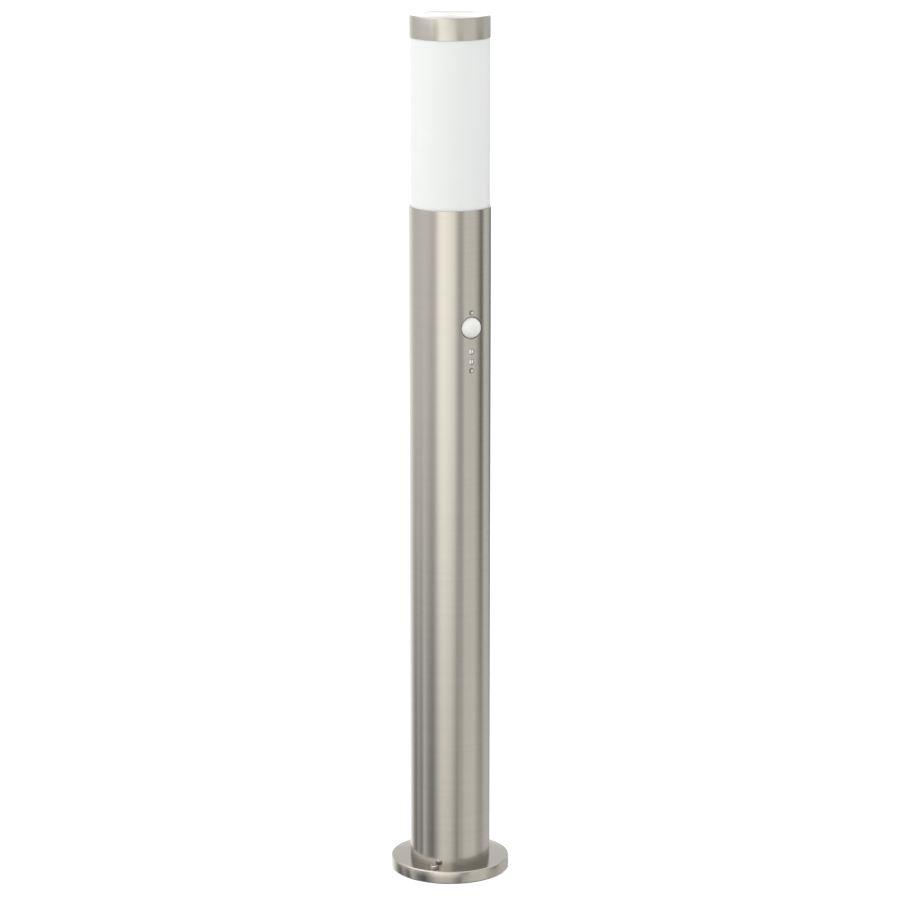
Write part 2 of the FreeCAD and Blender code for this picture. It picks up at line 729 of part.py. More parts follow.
def make_gland():
    collar_foot = "pan_top + gland_shoulder"
    tail_foot = "pan_under - gland_tail"
    body_solid = fuse(
        "gland_solid",
        cylinder(
            "gland_tail_solid", "gland_thread / 2", "gland_tail + plate_thickness", z=tail_foot
        ),
        hexagon("gland_hexagon", "gland_hex", "gland_shoulder", z="pan_top"),
        cylinder("gland_collar_solid", "gland_collar_diameter / 2", "gland_collar", z=collar_foot),
    )
    way = cylinder(
        "gland_way",
        "gland_bore / 2",
        "pan_top - pan_under + gland_tail + gland_shoulder",
        z=tail_foot,
    )
    pocket = cylinder("gland_pocket", "gland_seal_diameter / 2", "gland_collar", z=collar_foot)
    subpart("gland_body", cut("gland_body", body_solid, way, pocket))
    subpart(
        "gland_seal",
        tube(
            "seal",
            "gland_seal_diameter / 2",
            "cable_diameter / 2",
            "gland_collar + seal_stand",
            z=collar_foot,
        ),
    )
    nut_foot = f"{collar_foot} + gland_nut_gap"
    roof_under = f"{nut_foot} + gland_nut_height - gland_nut_roof"
    blank = common(
        "gland_nut_blank",
        hexagon("gland_nut_hexagon", "gland_hex", "gland_nut_height", z=nut_foot),
        sphere("gland_nut_round", "gland_nut_round", z=f"{nut_foot} + gland_nut_waist"),
    )
    thread = cylinder(
        "gland_nut_thread",
        "gland_collar_diameter / 2",
        "gland_nut_height - gland_nut_roof",
        z=nut_foot,
    )
    mouth = cylinder(
        "gland_nut_mouth", "cable_diameter / 2 + gland_mouth_play", "gland_nut_roof", z=roof_under
    )
    subpart("gland_nut", cut("gland_nut", blank, thread, mouth))
    locknut = hexagon(
        "locknut_blank", "gland_hex", "locknut_height", z="pan_under - locknut_height"
    )
    locknut_thread = cylinder(
        "locknut_thread", "gland_thread / 2", "locknut_height", z="pan_under - locknut_height"
    )
    subpart("gland_locknut", cut("gland_locknut", locknut, locknut_thread))


# ---------------------------------------------------------------- terminals


def make_bracket():
    body = new_body("terminal_bracket")
    face, back = "bracket_face", "bracket_face + bracket_sheet"
    profile = outline(
        new_sketch(body, "bracket_profile", "YZ_Plane"),
        [
            (face, "pan_top"),
            (f"{face} + bracket_foot", "pan_top"),
            (f"{face} + bracket_foot", "pan_top + bracket_sheet"),
            (back, "pan_top + bracket_sheet"),
            (back, "pan_top + bracket_height"),
            (face, "pan_top + bracket_height"),
        ],
    )
    strip = feature(body, "Pad", "bracket_strip", profile, Length="bracket_width")
    strip.Midplane = True
    for side in (-1, 1):
        drilled(
            body,
            "block_thread_left" if side < 0 else "block_thread_right",
            "fixing_screw_shank",
            f"{side} * block_pole_pitch / 2",
            "block_foot + block_height / 2",
            role="XZ_Plane",
            depth=back,
        )
    drilled(
        body, "earth_thread", "earth_screw_shank", "earth_offset", "earth_level", role="XZ_Plane", depth=back
    )


def make_terminal_block():
    housing = middle_box(
        "block_blank",
        "3 * block_pole_pitch",
        "block_depth",
        "block_height",
        y="block_front",
        z="block_foot",
    )
    wells, clamps, screws = [], [], []
    clamp_foot = "block_foot + (block_height - clamp_length) / 2"
    for pole in (-1, 0, 1):
        x = f"{pole} * block_pole_pitch"
        tag = f"pole_{pole + 2}"
        wells.append(
            cylinder(
                f"{tag}_way",
                "clamp_radius + clamp_seat",
                "block_height",
                x=x,
                y="clamp_axis",
                z="block_foot",
            ),
        )
        clamp = tube(
            f"{tag}_clamp",
            "clamp_radius",
            "clamp_bore",
            "clamp_length",
            x=x,
            y="clamp_axis",
            z=clamp_foot,
        )
        cross_holes = []
        for end in (-1, 1):
            level = f"block_foot + block_height / 2 + {end} * clamp_screw_pitch / 2"
            side = f"{tag}_{'lower' if end < 0 else 'upper'}"
            where = dict(x=x, z=level, turn=FACING_FRONT)
            wells.append(
                cylinder(
                    f"{side}_well",
                    "screw_access_radius",
                    "block_depth / 2",
                    y="clamp_axis",
                    **where,
                ),
            )
            cross_holes.append(
                cylinder(
                    f"{side}_hole",
                    "clamp_screw_radius",
                    "clamp_radius + 1",
                    y="clamp_axis",
                    **where,
                ),
            )
            blank = cylinder(f"{side}_screw_blank", "clamp_screw_radius", "clamp_screw_length")
            slot = box(
                f"{side}_slot",
                "3 * clamp_screw_radius",
                "clamp_slot_width",
                "clamp_slot_depth",
                x="-1.5 * clamp_screw_radius",
                y="-clamp_slot_width / 2",
                z="clamp_screw_length - clamp_slot_depth",
            )
            screws.append(
                cut(
                    f"{side}_screw",
                    blank,
                    slot,
                    x=x,
                    y="clamp_axis + clamp_bore - wire_diameter",
                    z=level,
                    turn=FACING_FRONT,
                ),
            )
        clamps.append(cut(f"{tag}_drilled_clamp", clamp, *cross_holes))
    fixings = []
    for side in (-1, 1):
        where = dict(
            x=f"{side} * block_pole_pitch / 2",
            y="block_front",
            z="block_foot + block_height / 2",
            turn=FACING_FRONT,
        )
        fixings.append(pan_screw(f"fixing_screw_{side + 1}", "fixing_screw", **where))
        wells.append(
            cylinder(
                f"fixing_way_{side + 1}",
                "fixing_screw_shank",
                "block_depth",
                x=f"{side} * block_pole_pitch / 2",
                y="bracket_face",
                z="block_foot + block_height / 2",
                turn=FACING_FRONT,
            )
        )
    subpart("terminal_block", cut("terminal_block", housing, *wells))
    subpart("terminal_clamps", group("clamp_group", *clamps))
    subpart("terminal_screws", group("clamp_screw_group", *screws))
    subpart("terminal_fixing_screws", group("fixing_group", *fixings))


def make_earth_point():
    x, seat = "earth_offset", "bracket_face - lug_sheet"
    in_plate = dict(x=x, z="earth_level", turn=FACING_FRONT)
    in_barrel = dict(x=x, y="bracket_face - lug_barrel_radius", z="earth_level + lug_radius")
    solid = fuse(
        "lug_solid",
        cylinder("lug_plate", "lug_radius", "lug_sheet", y="bracket_face", **in_plate),
        middle_box(
            "lug_neck",
            "2 * lug_barrel_radius",
            "lug_sheet",
            "lug_radius",
            x=x,
            y=seat,
            z="earth_level",
        ),
        cylinder("lug_barrel", "lug_barrel_radius", "lug_barrel_length", **in_barrel),
    )
    hole = cylinder(
        "lug_hole",
        "earth_screw_shank",
        "2 * lug_sheet",
        y="bracket_face + lug_sheet / 2",
        **in_plate,
    )
    bore = cylinder("lug_bore", "wire_radius", "lug_barrel_length", **in_barrel)
    subpart("earth_ring_terminal", cut("earth_ring_terminal", solid, hole, bore))
    subpart("earth_screw", pan_screw("earth_screw", "earth_screw", y=seat, **in_plate))


# ---------------------------------------------------------------- pole


def make_pole():
    body = new_body("pole_tube")
    section = new_sketch(body, "pole_section", "XY_Plane", lift="plate_top")
    circle(section, "pole_radius")
    circle(section, "bore_radius")
    feature(body, "Pad", "pole_pad", section, Length="pole_length")
    openings = (
        ("dome_hole", "dome_radius + dome_window_gap", "sensor_height"),
        ("time_hole", "trimmer_hole / 2", "sensor_height - time_trimmer_drop"),
        ("lux_hole", "trimmer_hole / 2", "sensor_height - lux_trimmer_drop"),
        (
            "upper_screw_hole",
            "sensor_screw_shank",
            "sensor_height + dome_radius + sensor_screw_gap",
        ),
        ("lower_screw_hole", "sensor_screw_shank", "sensor_height - sensor_screw_drop"),
    )
    for name, radius, level in openings:
        drilled(
            body, name, radius, "0", level, role="XZ_Plane", backwards=True, depth="pole_diameter"
        )


# ---------------------------------------------------------------- motion sensor


def sensor_hole(name, radius, level, reach="pole_radius"):
    """A bar along -Y from the axis, for cutting a round hole in the sensor's front."""
    return cylinder(name, radius, reach, z=level, turn=FACING_FRONT)


def sensor_levels():
    return {
        "upper_screw": "sensor_height + dome_radius + sensor_screw_gap",
        "lower_screw": "sensor_height - sensor_screw_drop",
        "time": "sensor_height - time_trimmer_drop",
        "lux": "sensor_height - lux_trimmer_drop",
    }


def rounded_slab(name, width, radius, back, foot, height):
    """A block from y = -back to a curved front of the given radius about the pole's axis."""
    block = middle_box(
        name + "_block", width, f"{radius} - {back}", height, y=f"-({radius})", z=foot
    )
    curve = cylinder(name + "_curve", radius, height, z=foot)
    return common(name, block, curve)


def make_sensor_housing():
    levels = sensor_levels()
    outside = rounded_slab(
        "housing_outside",
        "housing_width",
        "housing_front",
        "housing_back",
        "housing_foot",
        "housing_height",
    )
    inside = rounded_slab(
        "housing_inside",
        "cavity_width",
        "housing_front - housing_wall",
        "housing_back",
        "housing_foot + housing_wall",
        "cavity_height",
    )
    shell = cut("housing_shell", outside, inside)
    nose_radius = "nose_bore + nose_wall"
    bars = [
        cylinder(
            "nose_bar",
            nose_radius,
            "housing_front - nose_seat + 2 * dome_flange_sheet",
            y="-nose_seat + 2 * dome_flange_sheet",
            z="sensor_height",
            turn=FACING_FRONT,
        )
    ]
    for which in ("upper_screw", "lower_screw"):
        bars.append(
            cylinder(
                f"{which}_bar",
                "boss_radius",
                "housing_front - board_front",
                y="-board_front",
                z=levels[which],
                turn=FACING_FRONT,
            )
        )
    envelope = cylinder("boss_envelope", "housing_front", "housing_height", z="housing_foot")
    bosses = common("housing_bosses", fuse("boss_bars", *bars), envelope)
    holes = [
        sensor_hole("neck_hole", "dome_radius + dome_clearance", "sensor_height"),
        sensor_hole("nose_counterbore", "nose_bore", "sensor_height", reach="nose_seat"),
        sensor_hole("time_passage", "trimmer_hole / 2", levels["time"]),
        sensor_hole("lux_passage", "trimmer_hole / 2", levels["lux"]),
        sensor_hole("upper_pilot", "sensor_screw_shank", levels["upper_screw"]),
        sensor_hole("lower_pilot", "sensor_screw_shank", levels["lower_screw"]),
    ]
    for side in (-1, 1):
        for end, foot in (("lower", "housing_foot"), ("upper", "housing_top - housing_wall")):
            holes.append(
                cylinder(
                    f"{end}_wire_hole_{side + 1}",
                    "wire_hole_radius",
                    "housing_wall",
                    x=f"{side} * terminal_wire_offset",
                    y="-(terminal_wire_y)",
                    z=foot,
                )
            )
    subpart("sensor_housing", cut("sensor_housing", fuse("housing_solid", shell, bosses), *holes))


def make_sensor_gasket():
    levels = sensor_levels()
    sheet = cut(
        "foam_sheet",
        rounded_slab(
            "foam_outside",
            "housing_width",
            "bore_radius",
            "housing_front / 2",
            "housing_foot",
            "housing_height",
        ),
        cylinder("foam_inside", "housing_front", "housing_height", z="housing_foot"),
    )
    holes = [
        sensor_hole("foam_dome_hole", "dome_radius + dome_window_gap", "sensor_height"),
        sensor_hole("foam_time_hole", "trimmer_hole / 2", levels["time"]),
        sensor_hole("foam_lux_hole", "trimmer_hole / 2", levels["lux"]),
        sensor_hole("foam_upper_hole", "sensor_screw_shank", levels["upper_screw"]),
        sensor_hole("foam_lower_hole", "sensor_screw_shank", levels["lower_screw"]),
    ]
    subpart("sensor_gasket", cut("sensor_gasket", sheet, *holes))


def make_sensor_cover():
    plate = middle_box(
        "cover_plate",
        "housing_width",
        "cover_sheet",
        "housing_height",
        y="-housing_back",
        z="housing_foot",
    )
    lip_play = "2 * cover_play"
    lip = middle_box(
        "cover_lip",
        f"cavity_width - {lip_play}",
        "cover_lip",
        f"cavity_height - {lip_play}",
        y="-housing_back - cover_lip",
        z="housing_foot + housing_wall + cover_play",
    )
    hollow = middle_box(
        "cover_hollow",
        f"cavity_width - {lip_play} - 2 * housing_wall",
        "cover_lip",
        f"cavity_height - {lip_play} - 2 * housing_wall",
        y="-housing_back - cover_lip",
        z="housing_foot + 2 * housing_wall + cover_play",
    )
    subpart("sensor_back_cover", cut("sensor_back_cover", fuse("cover_solid", plate, lip), hollow))


def make_dome():
    """The lens: a hemisphere on a short neck, with a flange that seats inside the housing."""
    seat = "nose_seat - dome_flange_sheet"
    neck = f"dome_reach - ({seat})"
    inner = "dome_radius - dome_wall"
    solid = fuse(
        "dome_solid",
        cylinder("dome_neck", "dome_radius", neck),
        sphere("dome_ball", "dome_radius", z=neck),
        cylinder("dome_flange_disc", "dome_radius + dome_flange", "dome_flange_sheet"),
    )
    below = cylinder("dome_below", "2 * dome_radius", "dome_radius", z="-dome_radius")
    hollow = fuse(
        "dome_hollow",
        cylinder("dome_bore", inner, neck),
        sphere("dome_bore_end", inner, z=neck),
        below,
    )
    lens = cut("dome_lens", solid, hollow, y=f"-({seat})", z="sensor_height", turn=FACING_FRONT)
    subpart("sensor_dome", lens)
    ring = tube(
        "retainer_ring",
        "dome_radius + dome_flange",
        inner,
        f"{seat} - board_front",
        y="-board_front",
        z="sensor_height",
        turn=FACING_FRONT,
    )
    subpart("dome_retainer", ring)


def make_board():
    subpart(
        "sensor_board",
        middle_box(
            "board_sheet",
            "board_width",
            "board_sheet",
            "board_height",
            y="-board_front",
            z="board_foot",
        ),
    )
    can = fuse(
        "detector_can",
        cylinder("detector_base", "detector_radius + detector_rim", "detector_rim_sheet"),
        cylinder("detector_wall", "detector_radius", "detector_height"),
    )
    window = box(
        "detector_window",
        "detector_window",
        "detector_window",
        "window_depth",
        x="-detector_window / 2",
        y="-detector_window / 2",
        z="detector_height - window_depth",
    )
    subpart(
        "heat_detector",
        cut("heat_detector", can, window, y="-board_front", z="sensor_height", turn=FACING_FRONT),
    )
    tip = fuse(
        "daylight_solid",
        cylinder("daylight_stem", "daylight_radius", "daylight_height"),
        sphere("daylight_tip", "daylight_radius", z="daylight_height"),
        y="-board_front",
        z="sensor_height - daylight_drop",
        turn=FACING_FRONT,
    )
    subpart("daylight_detector", tip)
    subpart(
        "relay",
        box(
            "relay_case",
            "relay_width",
            "relay_depth",
            "relay_height",
            x="part_offset",
            y="-(board_back)",
            z="sensor_height + relay_rise",
        ),
    )
    subpart(
        "film_capacitor",
        box(
            "film_case",
            "film_width",
            "film_depth",
            "film_height",
            x="-part_offset - film_width",
            y="-(board_back)",
            z="sensor_height + relay_rise",
        ),
    )
    subpart(
        "reservoir_capacitor",
        cylinder(
            "reservoir_can",
            "reservoir_radius",
            "reservoir_length",
            y="-(board_back) + reservoir_length",
            z="sensor_height - reservoir_drop",
            turn=FACING_FRONT,
        ),
    )
    blocks = []
    for end, foot in (
        ("lower", "lower_terminal_foot"),
        ("upper", "upper_terminal_top - board_terminal_height"),
    ):
        case = middle_box(
            f"{end}_board_terminal",
            "board_terminal_width",
            "board_terminal_depth",
            "board_terminal_height",
            y="-(board_back)",
            z=foot,
        )
        blocks.append(case)
    subpart("board_terminals", group("board_terminal_pair", *blocks))


def make_trimmers():
    levels = sensor_levels()
    bases = []
    for which in ("time", "lux"):
        bases.append(
            middle_box(
                f"{which}_base",
                "trimmer_base_side",
                "trimmer_base_depth",
                "trimmer_base_side",
                y="-board_front - trimmer_base_depth",
                z=f"{levels[which]} - trimmer_base_side / 2",
            )
        )
        face = "board_front + trimmer_base_depth"
        length = f"pole_radius - trimmer_recess - ({face})"
        knob_foot = "trimmer_stem_length"
        solid = fuse(
            f"{which}_solid",
            cylinder(f"{which}_stem", "trimmer_stem_radius", length),
            cylinder(
                f"{which}_knob", "trimmer_knob_radius", f"{length} - {knob_foot}", z=knob_foot
            ),
        )
        slot = box(
            f"{which}_slot",
            "trimmer_slot_width",
            "3 * trimmer_knob_radius",
            "2 * trimmer_slot_depth",
            x="-trimmer_slot_width / 2",
            y="-1.5 * trimmer_knob_radius",
            z=f"{length} - trimmer_slot_depth",
        )
        subpart(
            f"{which}_trimmer",
            cut(
                f"{which}_trimmer", solid, slot, y=f"-({face})", z=levels[which], turn=FACING_FRONT
            ),
        )
    subpart("trimmer_bases", group("trimmer_base_pair", *bases))


def make_sensor_screws():
    levels = sensor_levels()
    screws = [
        pan_screw(
            f"sensor_{which}", "sensor_screw", y="-pole_radius", z=levels[which], turn=FACING_FRONT
        )
        for which in ("upper_screw", "lower_screw")
    ]
    subpart("sensor_screws", group("sensor_screw_pair", *screws))


# ---------------------------------------------------------------- carrier and lamp holder


def make_support():
    """A steel strip across the pole, its two legs welded to the wall."""
    strip = middle_box(
        "support_strip",
        "2 * bore_radius",
        "support_width",
        "support_leg + support_sheet",
        y="-support_width / 2",
        z="support_under - support_leg",
    )
    wall = cylinder(
        "support_wall",
        "bore_radius",
        "support_leg + support_sheet",
        z="support_under - support_leg",
    )
    hollow = cylinder(
        "support_hollow",
        "bore_radius - support_sheet",
        "support_leg",
        z="support_under - support_leg",
    )
    holes = [
        cylinder("support_nipple_hole", "nipple_radius", "2 * support_sheet", z="support_under")
    ]
    for side in (-1, 1):
        holes.append(
            cylinder(
                f"support_thread_{side + 1}",
                "carrier_screw_shank",
                "2 * support_sheet",
                x=f"{side} * carrier_screw_offset",
                z="support_under",
            )
        )
    subpart(
        "holder_support",
        cut("holder_support", common("support_blank", strip, wall), hollow, *holes),
    )


def make_carrier():
    outside = "bore_radius - carrier_clearance"
    corners = [
        ("nipple_radius", "carrier_under"),
        (outside, "carrier_under"),
        (outside, "diffuser_foot"),
        ("spigot_radius", "diffuser_foot"),
    ]
    for groove in ("ring_first", "ring_first + ring_pitch"):
        foot = f"diffuser_foot + {groove}"
        corners += [
            ("spigot_radius", foot),
            ("groove_radius", foot),
            ("groove_radius", f"{foot} + ring_groove"),
            ("spigot_radius", f"{foot} + ring_groove"),
        ]
    inside = "spigot_radius - spigot_wall"
    corners += [
        ("spigot_radius", "diffuser_foot + spigot_height"),
        (inside, "diffuser_foot + spigot_height"),
        (inside, "carrier_top"),
        ("nipple_radius", "carrier_top"),
    ]
    body = revolved("lamp_carrier", corners)
    for name, side in (("carrier_hole_left", "-"), ("carrier_hole_right", "")):
        drilled(body, name, "carrier_screw_shank", f"{side}carrier_screw_offset")
    screws = [
        pan_screw(
            f"carrier_screw_{side + 1}",
            "carrier_screw",
            x=f"{side} * carrier_screw_offset",
            z="carrier_top",
        )
        for side in (-1, 1)
    ]
    subpart("carrier_screws", group("carrier_screw_pair", *screws))
    rings = [
        torus(
            f"seal_ring_{i}",
            "ring_radius",
            "ring_section / 2",
            z=f"diffuser_foot + ring_first + {i} * ring_pitch + ring_groove / 2",
        )
        for i in (0, 1)
    ]
    subpart("carrier_o_rings", group("seal_ring_pair", *rings))


def lamp_thread(name, core, play, foot, height):
    """A core with rounded rings at the thread's pitch, grown by play."""
    rings = [
        torus(
            f"{name}_ring_{i}",
            "lamp_thread_core",
            f"lamp_thread_round + {play}",
            z=f"lamp_cap_foot + lamp_thread_start + {i} * lamp_thread_pitch",
        )
        for i in range(round(number("lamp_thread_turns")))
    ]
    return fuse(name, cylinder(f"{name}_core", f"{core} + {play}", height, z=foot), *rings)


def make_holder():
    nipple_foot = "support_under - nipple_below"
    nipple_length = "nipple_below + support_sheet + carrier_floor + nipple_above"
    subpart(
        "holder_nipple",
        tube("nipple", "nipple_radius", "nipple_bore / 2", nipple_length, z=nipple_foot),
    )
    nut_foot = "support_under - nipple_nut_height"
    subpart(
        "nipple_nut",
        cut(
            "nipple_nut",
            hexagon("nipple_nut_blank", "nipple_nut_flats", "nipple_nut_height", z=nut_foot),
            cylinder("nipple_nut_thread", "nipple_radius", "nipple_nut_height", z=nut_foot),
        ),
    )
    inside = "holder_radius - holder_wall"
    base = revolved(
        "holder_base",
        [
            ("nipple_radius", "carrier_top"),
            ("holder_radius", "carrier_top"),
            ("holder_radius", "carrier_top + skirt_lift"),
            ("holder_radius - holder_wall / 2", "carrier_top + skirt_lift"),
            ("holder_radius - holder_wall / 2", "carrier_top + holder_base_height"),
            (inside, "carrier_top + holder_base_height"),
            (inside, "carrier_top + holder_floor"),
            ("nipple_radius", "carrier_top + holder_floor"),
        ],
    )
    rounded(base, "holder_base_edge", "holder_wall / 2", [("holder_radius", "carrier_top")])
    insert_foot = "carrier_top + insert_lift"
    disc = cylinder("insert_disc", f"{inside} - insert_play", "insert_height", z=insert_foot)
    bridge = tube(
        "insert_stand",
        f"{inside} - insert_play",
        f"{inside} - insert_play - holder_wall",
        "insert_lift - holder_floor",
        z="carrier_top + holder_floor",
    )
    subpart("holder_insert", fuse("holder_insert", disc, bridge))
    rise = "lamp_foot - insert_top"
    tongue = new_body("holder_contact")
    strip = outline(
        new_sketch(tongue, "tongue_profile"),
        [
            ("-tongue_reach", "insert_top"),
            ("-tongue_reach + tongue_foot", "insert_top"),
            ("-tongue_reach + 2 * tongue_foot", f"insert_top + {rise} - tongue_sheet"),
            ("lamp_tip_radius", f"insert_top + {rise} - tongue_sheet"),
            ("lamp_tip_radius", f"insert_top + {rise}"),
            ("-tongue_reach + 2 * tongue_foot - tongue_sheet", f"insert_top + {rise}"),
            ("-tongue_reach + tongue_foot - tongue_sheet", "insert_top + tongue_sheet"),
            ("-tongue_reach", "insert_top + tongue_sheet"),
        ],
    )
    feature(tongue, "Pad", "tongue_strip", strip, Length="tongue_width").Midplane = True
    shell_foot = "carrier_top + shell_lift"
    shell = cut(
        "holder_thread_shell",
        cylinder("shell_blank", "shell_radius", "shell_height", z=shell_foot),
        lamp_thread(
            "shell_thread", "lamp_thread_core", "lamp_thread_play", shell_foot, "shell_height"
        ),
    )
    subpart("holder_thread_shell", shell)
    skirt = revolved(
        "holder_skirt",
        [
            ("holder_radius - holder_wall / 2", "carrier_top + skirt_lift"),
            ("skirt_radius", "carrier_top + skirt_lift"),
            ("skirt_radius", "carrier_top + skirt_lift + skirt_height"),
            (
                "lamp_thread_core + lamp_thread_round + 2 * lamp_thread_play",
                "carrier_top + skirt_lift + skirt_height",
            ),
            (
                "lamp_thread_core + lamp_thread_round + 2 * lamp_thread_play",
                "carrier_top + shell_lift + shell_height",
            ),
            ("shell_radius", "carrier_top + shell_lift + shell_height"),
            ("shell_radius", "carrier_top + shell_lift"),
            ("holder_radius - holder_wall / 2", "carrier_top + shell_lift"),
        ],
    )
    rounded(
        skirt,
        "skirt_edge",
        "holder_wall * 0.75",
        [("skirt_radius", "carrier_top + skirt_lift + skirt_height")],
    )


# ---------------------------------------------------------------- lamp


def make_lamp():
    tip = fuse(
        "lamp_tip_solid",
        cone(
            "lamp_tip_contact", "lamp_tip_end", "lamp_tip_radius", "lamp_tip_height", z="lamp_foot"
        ),
        cone(
            "lamp_tip_glass",
            "lamp_glass_radius",
            "lamp_thread_core - lamp_cap_sheet",
            "lamp_glass_height",
            z="lamp_glass_foot",
        ),
    )
    subpart("bulb_tip", tip)
    core = "lamp_thread_core - lamp_cap_sheet"
    hollow = cylinder("lamp_cap_hollow", core, "lamp_cap_height", z="lamp_cap_foot")
    rings = [
        torus(
            f"cap_ring_inside_{i}",
            "lamp_thread_core",
            "lamp_thread_round - lamp_cap_sheet",
            z=f"lamp_cap_foot + lamp_thread_start + {i} * lamp_thread_pitch",
        )
        for i in range(round(number("lamp_thread_turns")))
    ]
    threaded = lamp_thread(
        "cap_thread", "lamp_thread_core", "0", "lamp_cap_foot", "lamp_cap_height"
    )
    subpart("bulb_cap", cut("bulb_cap", threaded, hollow, *rings))
    make_lamp_body()
    cut_level = "lamp_rim"
    outside = sphere("globe_outside", "globe_radius", z="globe_centre")
    inside = sphere("globe_inside", "globe_radius - globe_wall", z="globe_centre")
    keep = cylinder("globe_keep", "globe_radius", "2 * globe_radius", z=cut_level)
    subpart("bulb_globe", cut("bulb_globe", common("globe_solid", outside, keep), inside))
    board = cylinder("light_disc", "light_board_radius", "light_board_sheet", z="light_board_foot")
    chips = []
    for i in range(round(number("light_count"))):
        angle = f"{i} * 360 / light_count"
        chips.append(
            box(
                f"light_chip_{i}",
                "light_side",
                "light_side",
                "light_height",
                x=f"light_circle * cos({angle}) - light_side / 2",
                y=f"light_circle * sin({angle}) - light_side / 2",
                z="light_board_foot + light_board_sheet",
            )
        )
    subpart("bulb_light_board", fuse("light_board", board, *chips))


def make_lamp_body():
    """The lamp's plastic body: a tail in the cap, a flared shell and the light board's ledge."""
    tail = "lamp_thread_core - lamp_cap_sheet"
    wall = "lamp_body_wall"
    corners = [
        (f"{tail} - {wall}", "lamp_cap_top - lamp_tail"),
        (tail, "lamp_cap_top - lamp_tail"),
        (tail, "lamp_cap_top"),
        ("lamp_neck_radius", "lamp_cap_top"),
        ("lamp_neck_radius", "lamp_cap_top + lamp_neck_height"),
        ("lamp_waist_radius", "lamp_cap_top + lamp_waist_rise"),
        ("lamp_body_radius", "lamp_rim"),
        (f"lamp_body_radius - {wall}", "lamp_rim"),
        (f"lamp_body_radius - {wall}", "light_board_foot"),
        (f"light_board_radius - {wall}", "light_board_foot"),
        (f"lamp_waist_radius - 2 * {wall}", "lamp_cap_top + lamp_waist_rise"),
        (f"{tail} - {wall}", "lamp_cap_top + lamp_neck_height"),
    ]
    body = revolved("bulb_body", corners)
    rounded(
        body,
        "bulb_body_flare",
        "lamp_neck_height",
        [("lamp_waist_radius", "lamp_cap_top + lamp_waist_rise")],
    )


# ---------------------------------------------------------------- head


def make_diffuser():
    body = new_body("diffuser")
    section = new_sketch(body, "diffuser_section", "XY_Plane", lift="diffuser_foot")
    circle(section, "diffuser_radius")
    circle(section, "diffuser_bore")
    feature(body, "Pad", "diffuser_tube", section, Length="diffuser_top - diffuser_foot")
    before = settled_volume(body)
    half = "hook_width / 2 + window_play"
    low, high = "nub_top - hook_nub_height - window_play", "nub_top"
    window = outline(
        new_sketch(body, "hook_window_outline"),
        [(f"-({half})", low), (half, low), (half, high), (f"-({half})", high)],
    )
    pocket = feature(body, "Pocket", "hook_window", window, Length="diffuser_radius")
    pocket.Reversed = True
    repeated(body, pocket, "hook_count")
    if settled_volume(body) >= before:
        raise ValueError("the hook windows cut nothing")


def make_cap():
    body = revolved(
        "top_cap",
        [
            ("cap_bore", "cap_foot"),
            ("cap_radius", "cap_foot"),
            ("cap_radius", "cap_top"),
            ("0", "cap_top"),
            ("0", "cap_top - cap_sheet - stud_length"),
            ("stud_radius", "cap_top - cap_sheet - stud_length"),
            ("stud_radius", "cap_top - cap_sheet"),
            ("cap_bore", "cap_top - cap_sheet"),
        ],
    )
    rounded(body, "cap_rim", "cap_edge", [("cap_radius", "cap_top")])
    rounded(body, "cap_inner_rim", "cap_edge - cap_sheet", [("cap_bore", "cap_top - cap_sheet")])


def make_liner():
    disc_radius = "diffuser_radius - liner_inset - cap_edge"
    disc = cylinder("liner_disc", disc_radius, "liner_sheet", z="diffuser_top")
    hooks = []
    for i in range(round(number("hook_count"))):
        turn = Rotation(Vector(0, 0, 1), i * 360 / number("hook_count"))
        leg = common(
            f"hook_leg_{i}",
            middle_box(
                f"hook_leg_block_{i}",
                "hook_width",
                "2 * hook_sheet",
                "hook_length",
                y="-(hook_outside)",
                z="diffuser_top - hook_length",
            ),
            tube(
                f"hook_leg_ring_{i}",
                "hook_outside",
                "hook_outside - hook_sheet",
                "hook_length",
                z="diffuser_top - hook_length",
            ),
        )
        nub = common(
            f"hook_nub_{i}",
            middle_box(
                f"hook_nub_block_{i}",
                "hook_width",
                "2 * hook_nub",
                "hook_nub_height",
                y="-(hook_outside + hook_nub)",
                z="nub_top - hook_nub_height",
            ),
            tube(
                f"hook_nub_ring_{i}",
                "hook_outside + hook_nub",
                "hook_outside - hook_sheet",
                "hook_nub_height",
                z="nub_top - hook_nub_height",
            ),
        )
        hooks.append(fuse(f"hook_{i}", leg, nub, turn=turn))
    hole = cylinder("liner_hole", "stud_radius", "liner_sheet", z="diffuser_top")
    subpart("cap_liner", cut("cap_liner", fuse("liner_solid", disc, *hooks), hole))
    nut = fuse(
        "cap_nut_solid",
        hexagon(
            "cap_nut_hexagon", "cap_nut_flats", "cap_nut_height", z="diffuser_top - cap_nut_height"
        ),
        cylinder(
            "cap_nut_flange", "cap_nut_flange", "cap_nut_washer", z="diffuser_top - cap_nut_washer"
        ),
    )
    thread = cylinder(
        "cap_nut_thread", "stud_radius", "cap_nut_height", z="diffuser_top - cap_nut_height"
    )
    subpart("cap_nut", cut("cap_nut", nut, thread))


# ---------------------------------------------------------------- wires


